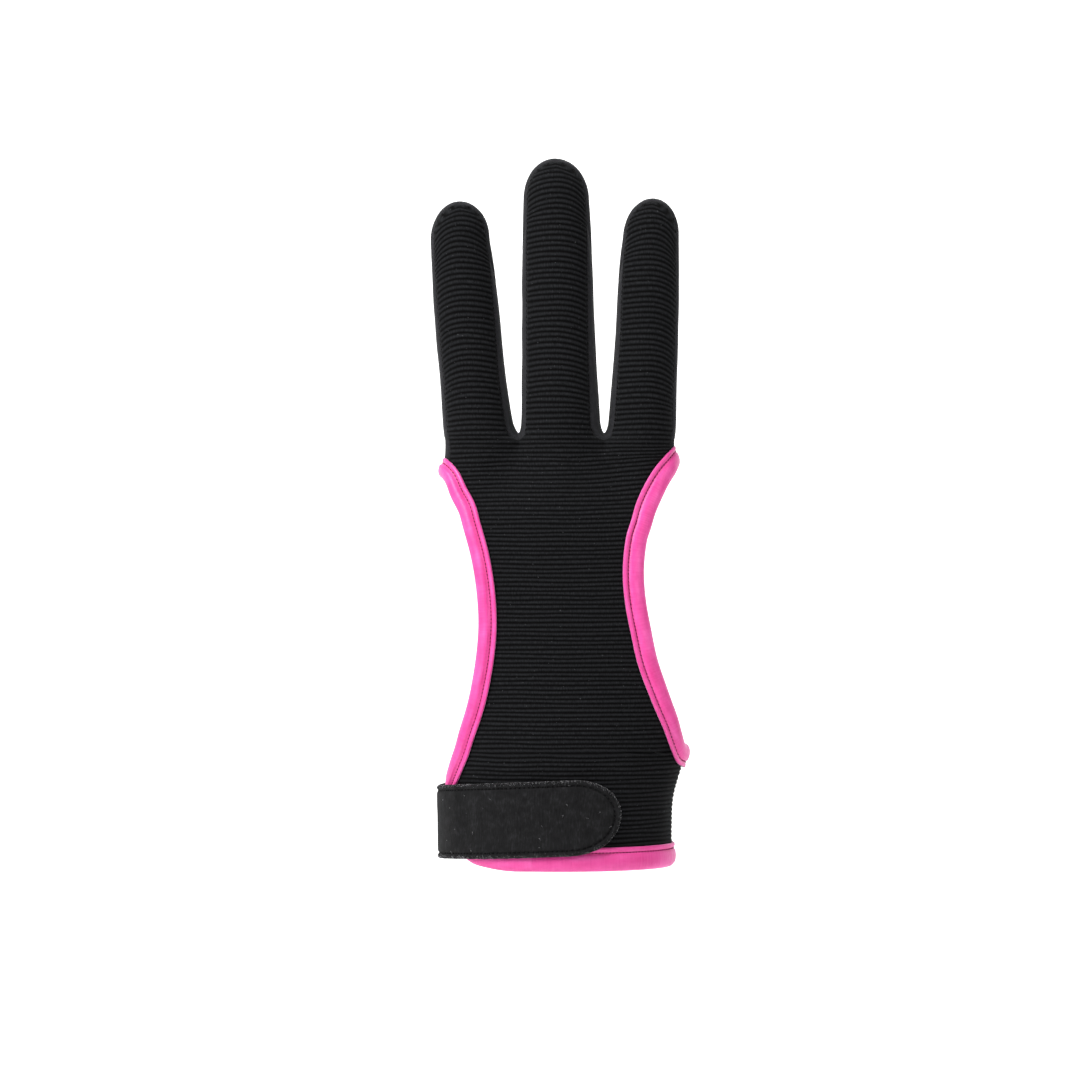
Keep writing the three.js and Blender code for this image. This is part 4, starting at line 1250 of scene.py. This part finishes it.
def sweep_tape(name, node, sign, width_at, gather_at):
    """Sweeps the tape round one opening, with a pucker at each stitch, and sews it."""
    stations, step = tape_line(tape_stops(sign), STITCH_PITCH)
    count, corners = len(stations), len(tape_section(HEM_TAPE_WIDTH))
    tape = bmesh.new()

    def crossing(i, j):
        place, normal, run = stations[j % count]
        corner = i % corners
        across, up = tape_section(width_at(place))[corner]
        if corner in (FURROW, INNER_FURROW) and j % STEPS_PER_STITCH == 0:
            up -= math.copysign(PUCKER, up)
        if abs(up) > PUFFS_ABOVE:
            puff = noise.noise(place * 0.35) * 0.1 + noise.noise(place * 1.1) * 0.04
            gather = gather_at(place) * math.sin(j * step * 2 * math.pi / STITCH_PITCH)
            up += math.copysign(abs(puff) + abs(gather), up)
        return place + normal.cross(run) * across + normal * (up - BACK_WALL / 2)

    table = add_grid(tape, corners, count, crossing)
    mark_loops(tape, table, lambda i, j: (i * MARK_STEP, j * step))
    bmesh.ops.remove_doubles(tape, verts=tape.verts, dist=WELD)
    bmesh.ops.recalc_face_normals(tape, faces=tape.faces)
    piece = make_piece(name, tape, pink_elastic)
    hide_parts(node)

    seams = bmesh.new()
    for n in range(0, count, STEPS_PER_STITCH):
        place, normal, run = stations[(n + 2) % count]
        from_panel, lift = LIP[FURROW]
        inward = width_at(place) - TAPE_FOLD - from_panel
        middle = place - run * step / 2 + normal.cross(run) * inward
        for face in (1, -INNER_SHARE):
            up = face * (lift + STITCH_LIFT) - BACK_WALL / 2
            add_stitch(seams, middle + normal * up, run, normal, TAPE_STITCH)
    make_piece(name + "_stitches", seams, magenta_thread)


sweep_tape("thumb_tape", "thumb_binding", 1, lambda place: THUMB_TAPE_WIDTH, lambda place: 0.0)
sweep_tape("edge_tape", "edge_binding", -1, edge_width, hem_gathers)

# %% [markdown]
# ## The wrist strap
# The strap is a sandwich of two tapes, sewn together near its edges, so its edges are thin, a
# furrow runs along the sewing, and the middle is full. Its grid runs round the outline and in
# towards the middle line, which keeps the furrow at one distance from the edge, round the tip too.

# %% The wrist strap
STRAP_WIDTH = 20
STRAP_HEIGHT_AT_SIDE = 12
STRAP_HEIGHT_AT_TIP = 15
STRAP_TIP_LENGTH = 13.5
STRAP_START = -148
STRAP_TIP = 31
STRAP_TOP = 2.8              # millimetres of the strap's full outer face above the hand's form
STRAP_WALL = 1.5
STIFF_ABOVE = 16.5           # the height up to which the strap follows the hand fully
FOLLOWS_ABOVE = 0.2          # and the share of the hand's widening that it follows above that
STRAP_SINK = 0.75            # millimetres that the strap sinks where no tape lies under it
# Under it lie the little finger's tape, at so many degrees on both sides of the hand's edge, and
# the hem's, up to a height in millimetres. It bridges the opening between the first two.
TAPE_UNDER = 16
TAPE_REACH = 24
BRIDGE_SPAN = 30
HEM_UNDER = 9.5
SIDE_STEPS = 201
TIP_STEPS = 66
STITCH_STEPS = 3             # columns of the grid to a stitch
STRAP_STITCH = (0.42, 0.2, 0.16)           # half its length, width and height
DIMPLE = 0.4                 # millimetres that the needle's holes lie below the furrow
# The grid's rows: millimetres in from the strap's edge, and millimetres above its outer face
DEPTHS = (0, 0.12, 0.4, 0.8, 1.2, 1.5, 1.8, 2.2, 2.9, 4, 5.5, 7.5, 10)
FULLNESS = (-0.75, -0.42, -0.14, -0.04, -0.14, -0.62, -0.14, -0.02, 0.02, 0.04, 0.05, 0.05, 0.05)
SEWN_ROW = 5

wrist_per_degree = WRIST_WIDTH / 2 * math.radians(1)
tip_start = STRAP_TIP - STRAP_TIP_LENGTH / wrist_per_degree


def strap_lift(angle, height):
    """The strap sinks on to the knit where no tape lies under it."""
    from_side = abs(angle + 90)
    over_edge = smooth((TAPE_REACH - abs(from_side - TAPE_UNDER)) / 10)
    bridge = smooth((BRIDGE_SPAN - from_side) / 8)
    over_hem = smooth((HEM_UNDER - height) / 4)
    return mix(-STRAP_SINK, 0.0, max(over_edge, bridge, over_hem))


def strap_base(angle, height):
    """The strap is stiff, so it follows the cuff but little of the hand that widens above it."""
    level = min(height, STIFF_ABOVE) + max(height - STIFF_ABOVE, 0) * FOLLOWS_ABOVE
    base, normal = form_point(BACK, level, angle), form_normal(BACK, level, angle)
    base.z = height
    return base, normal


def strap_place(i, depth):
    """A place on the strap: an angle round the wrist and a height, with depth in from the edge."""
    inner = 1 - depth / (STRAP_WIDTH / 2)
    if i <= SIDE_STEPS:
        angle, rise = mix(STRAP_START, tip_start, i / SIDE_STEPS), inner
    elif i >= SIDE_STEPS + TIP_STEPS:
        back_step = 2 * SIDE_STEPS + TIP_STEPS - i
        angle, rise = mix(STRAP_START, tip_start, back_step / SIDE_STEPS), -inner
    else:
        turn = math.pi * (i - SIDE_STEPS) / TIP_STEPS
        angle = tip_start + (STRAP_TIP - tip_start) * inner * math.sin(turn)
        rise = inner * math.cos(turn)
    centre = mix(STRAP_HEIGHT_AT_SIDE, STRAP_HEIGHT_AT_TIP, clamp((angle + 90) / (STRAP_TIP + 90)))
    return angle, centre + STRAP_WIDTH / 2 * rise


def strap_point(i, depth, out):
    """A point of the strap's outer face, moved out a little, and the direction out of it."""
    angle, height = strap_place(i, depth)
    base, normal = strap_base(angle, height)
    felt = 0.06 * noise.noise(base * 0.5) + 0.04 * noise.noise(base * 1.7)
    return base + normal * (STRAP_TOP + strap_lift(angle, height) + out + felt), normal


strap_columns = 2 * SIDE_STEPS + TIP_STEPS
print("stitches round the strap:", strap_columns // STITCH_STEPS)

# %% The felt of the strap
strap = bmesh.new()


def strap_crossing(i, j):
    row = len(DEPTHS) - 1 - j
    out = FULLNESS[row]
    if row == SEWN_ROW and i % STITCH_STEPS == 0:
        out -= DIMPLE
    ragged = 0.1 * noise.noise(Vector((i * 0.35, 0.4, 7.1))) if row == 0 else 0.0
    return strap_point(i, DEPTHS[row] + ragged, out)[0]


def strap_mark(i, j):
    angle, height = strap_place(i, DEPTHS[len(DEPTHS) - 1 - j])
    return angle * wrist_per_degree, height


table = add_grid(strap, strap_columns, len(DEPTHS) - 1, strap_crossing)
mark_loops(strap, table, strap_mark)
bmesh.ops.remove_doubles(strap, verts=strap.verts, dist=WELD)
brushed_strap = make_piece("brushed_strap", strap, brushed_loop)
add_wall(brushed_strap, STRAP_WALL)
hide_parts("wrist_strap")

# %% The sewing of the strap
# Two rows of stitches sew its far end to the palm: degrees in from the end, half a row's length
SEWN_END = (2.6, 20)
SEWN_HALF = 8.2
SEWN_STITCHES = 13
SEWN_STITCH = (0.5, 0.2, 0.16)

strap_seams = bmesh.new()
for i in range(0, strap_columns, STITCH_STEPS):
    (before, normal), (after, _) = (strap_point(i + n, DEPTHS[SEWN_ROW], -DIMPLE) for n in (1, 2))
    run = (after - before).normalized()
    add_stitch(strap_seams, (before + after) / 2, run, normal, STRAP_STITCH)
for from_end in SEWN_END:
    angle = STRAP_START + from_end
    for n in range(SEWN_STITCHES):
        height = STRAP_HEIGHT_AT_SIDE + mix(-SEWN_HALF, SEWN_HALF, n / (SEWN_STITCHES - 1))
        base, normal = strap_base(angle, height)
        base += normal * (STRAP_TOP + strap_lift(angle, height) + STITCH_LIFT)
        add_stitch(strap_seams, base, Vector((0, 0, 1)), normal, SEWN_STITCH)
make_piece("strap_stitches", strap_seams, black_thread)

# %% [markdown]
# ## The fuzz of the strap
# Brushed loop frays where it is cut, and short grey hairs stand out from its edges. A hair system
# would not be kept by the export, so each hair is a thin three-sided cone.

# %% The fuzz of the strap
HAIRS = 2800
FACE_HAIR = 70               # every 70th hair stands on the strap's face, the others at its edge
HAIR_FOOT = 0.05             # radius in millimetres
HAIR_POINT = 0.015
random.seed(31)
fuzz = bmesh.new()
for n in range(HAIRS):
    i = random.uniform(0, strap_columns)
    on_edge = n % FACE_HAIR
    depth = random.uniform(0, 0.35) if on_edge else random.uniform(0.5, 9.5)
    base, normal = strap_point(i, depth, -0.5 if on_edge else 0.0)
    ahead, _ = strap_point(i + 0.5, depth, 0)
    run = (ahead - base).normalized()
    away = run.cross(normal).normalized()
    if on_edge:
        way = away * random.uniform(0.3, 1.0) + normal * random.uniform(-0.2, 0.9)
        way += run * random.uniform(-0.8, 0.8)
    else:
        way = normal * random.uniform(0.1, 0.4) + away * random.uniform(-1, 1)
        way += run * random.uniform(-0.4, 0.4)
    way.normalize()
    length = random.uniform(0.3, 1.1)
    turn = way.to_track_quat("Z", "Y").to_matrix().to_4x4()
    bmesh.ops.create_cone(
        fuzz, cap_ends=True, segments=3, radius1=HAIR_FOOT, radius2=HAIR_POINT, depth=length,
        matrix=Matrix.Translation(base + way * length * 0.45) @ turn,
    )
make_piece("strap_fuzz", fuzz, fuzz_fibre)
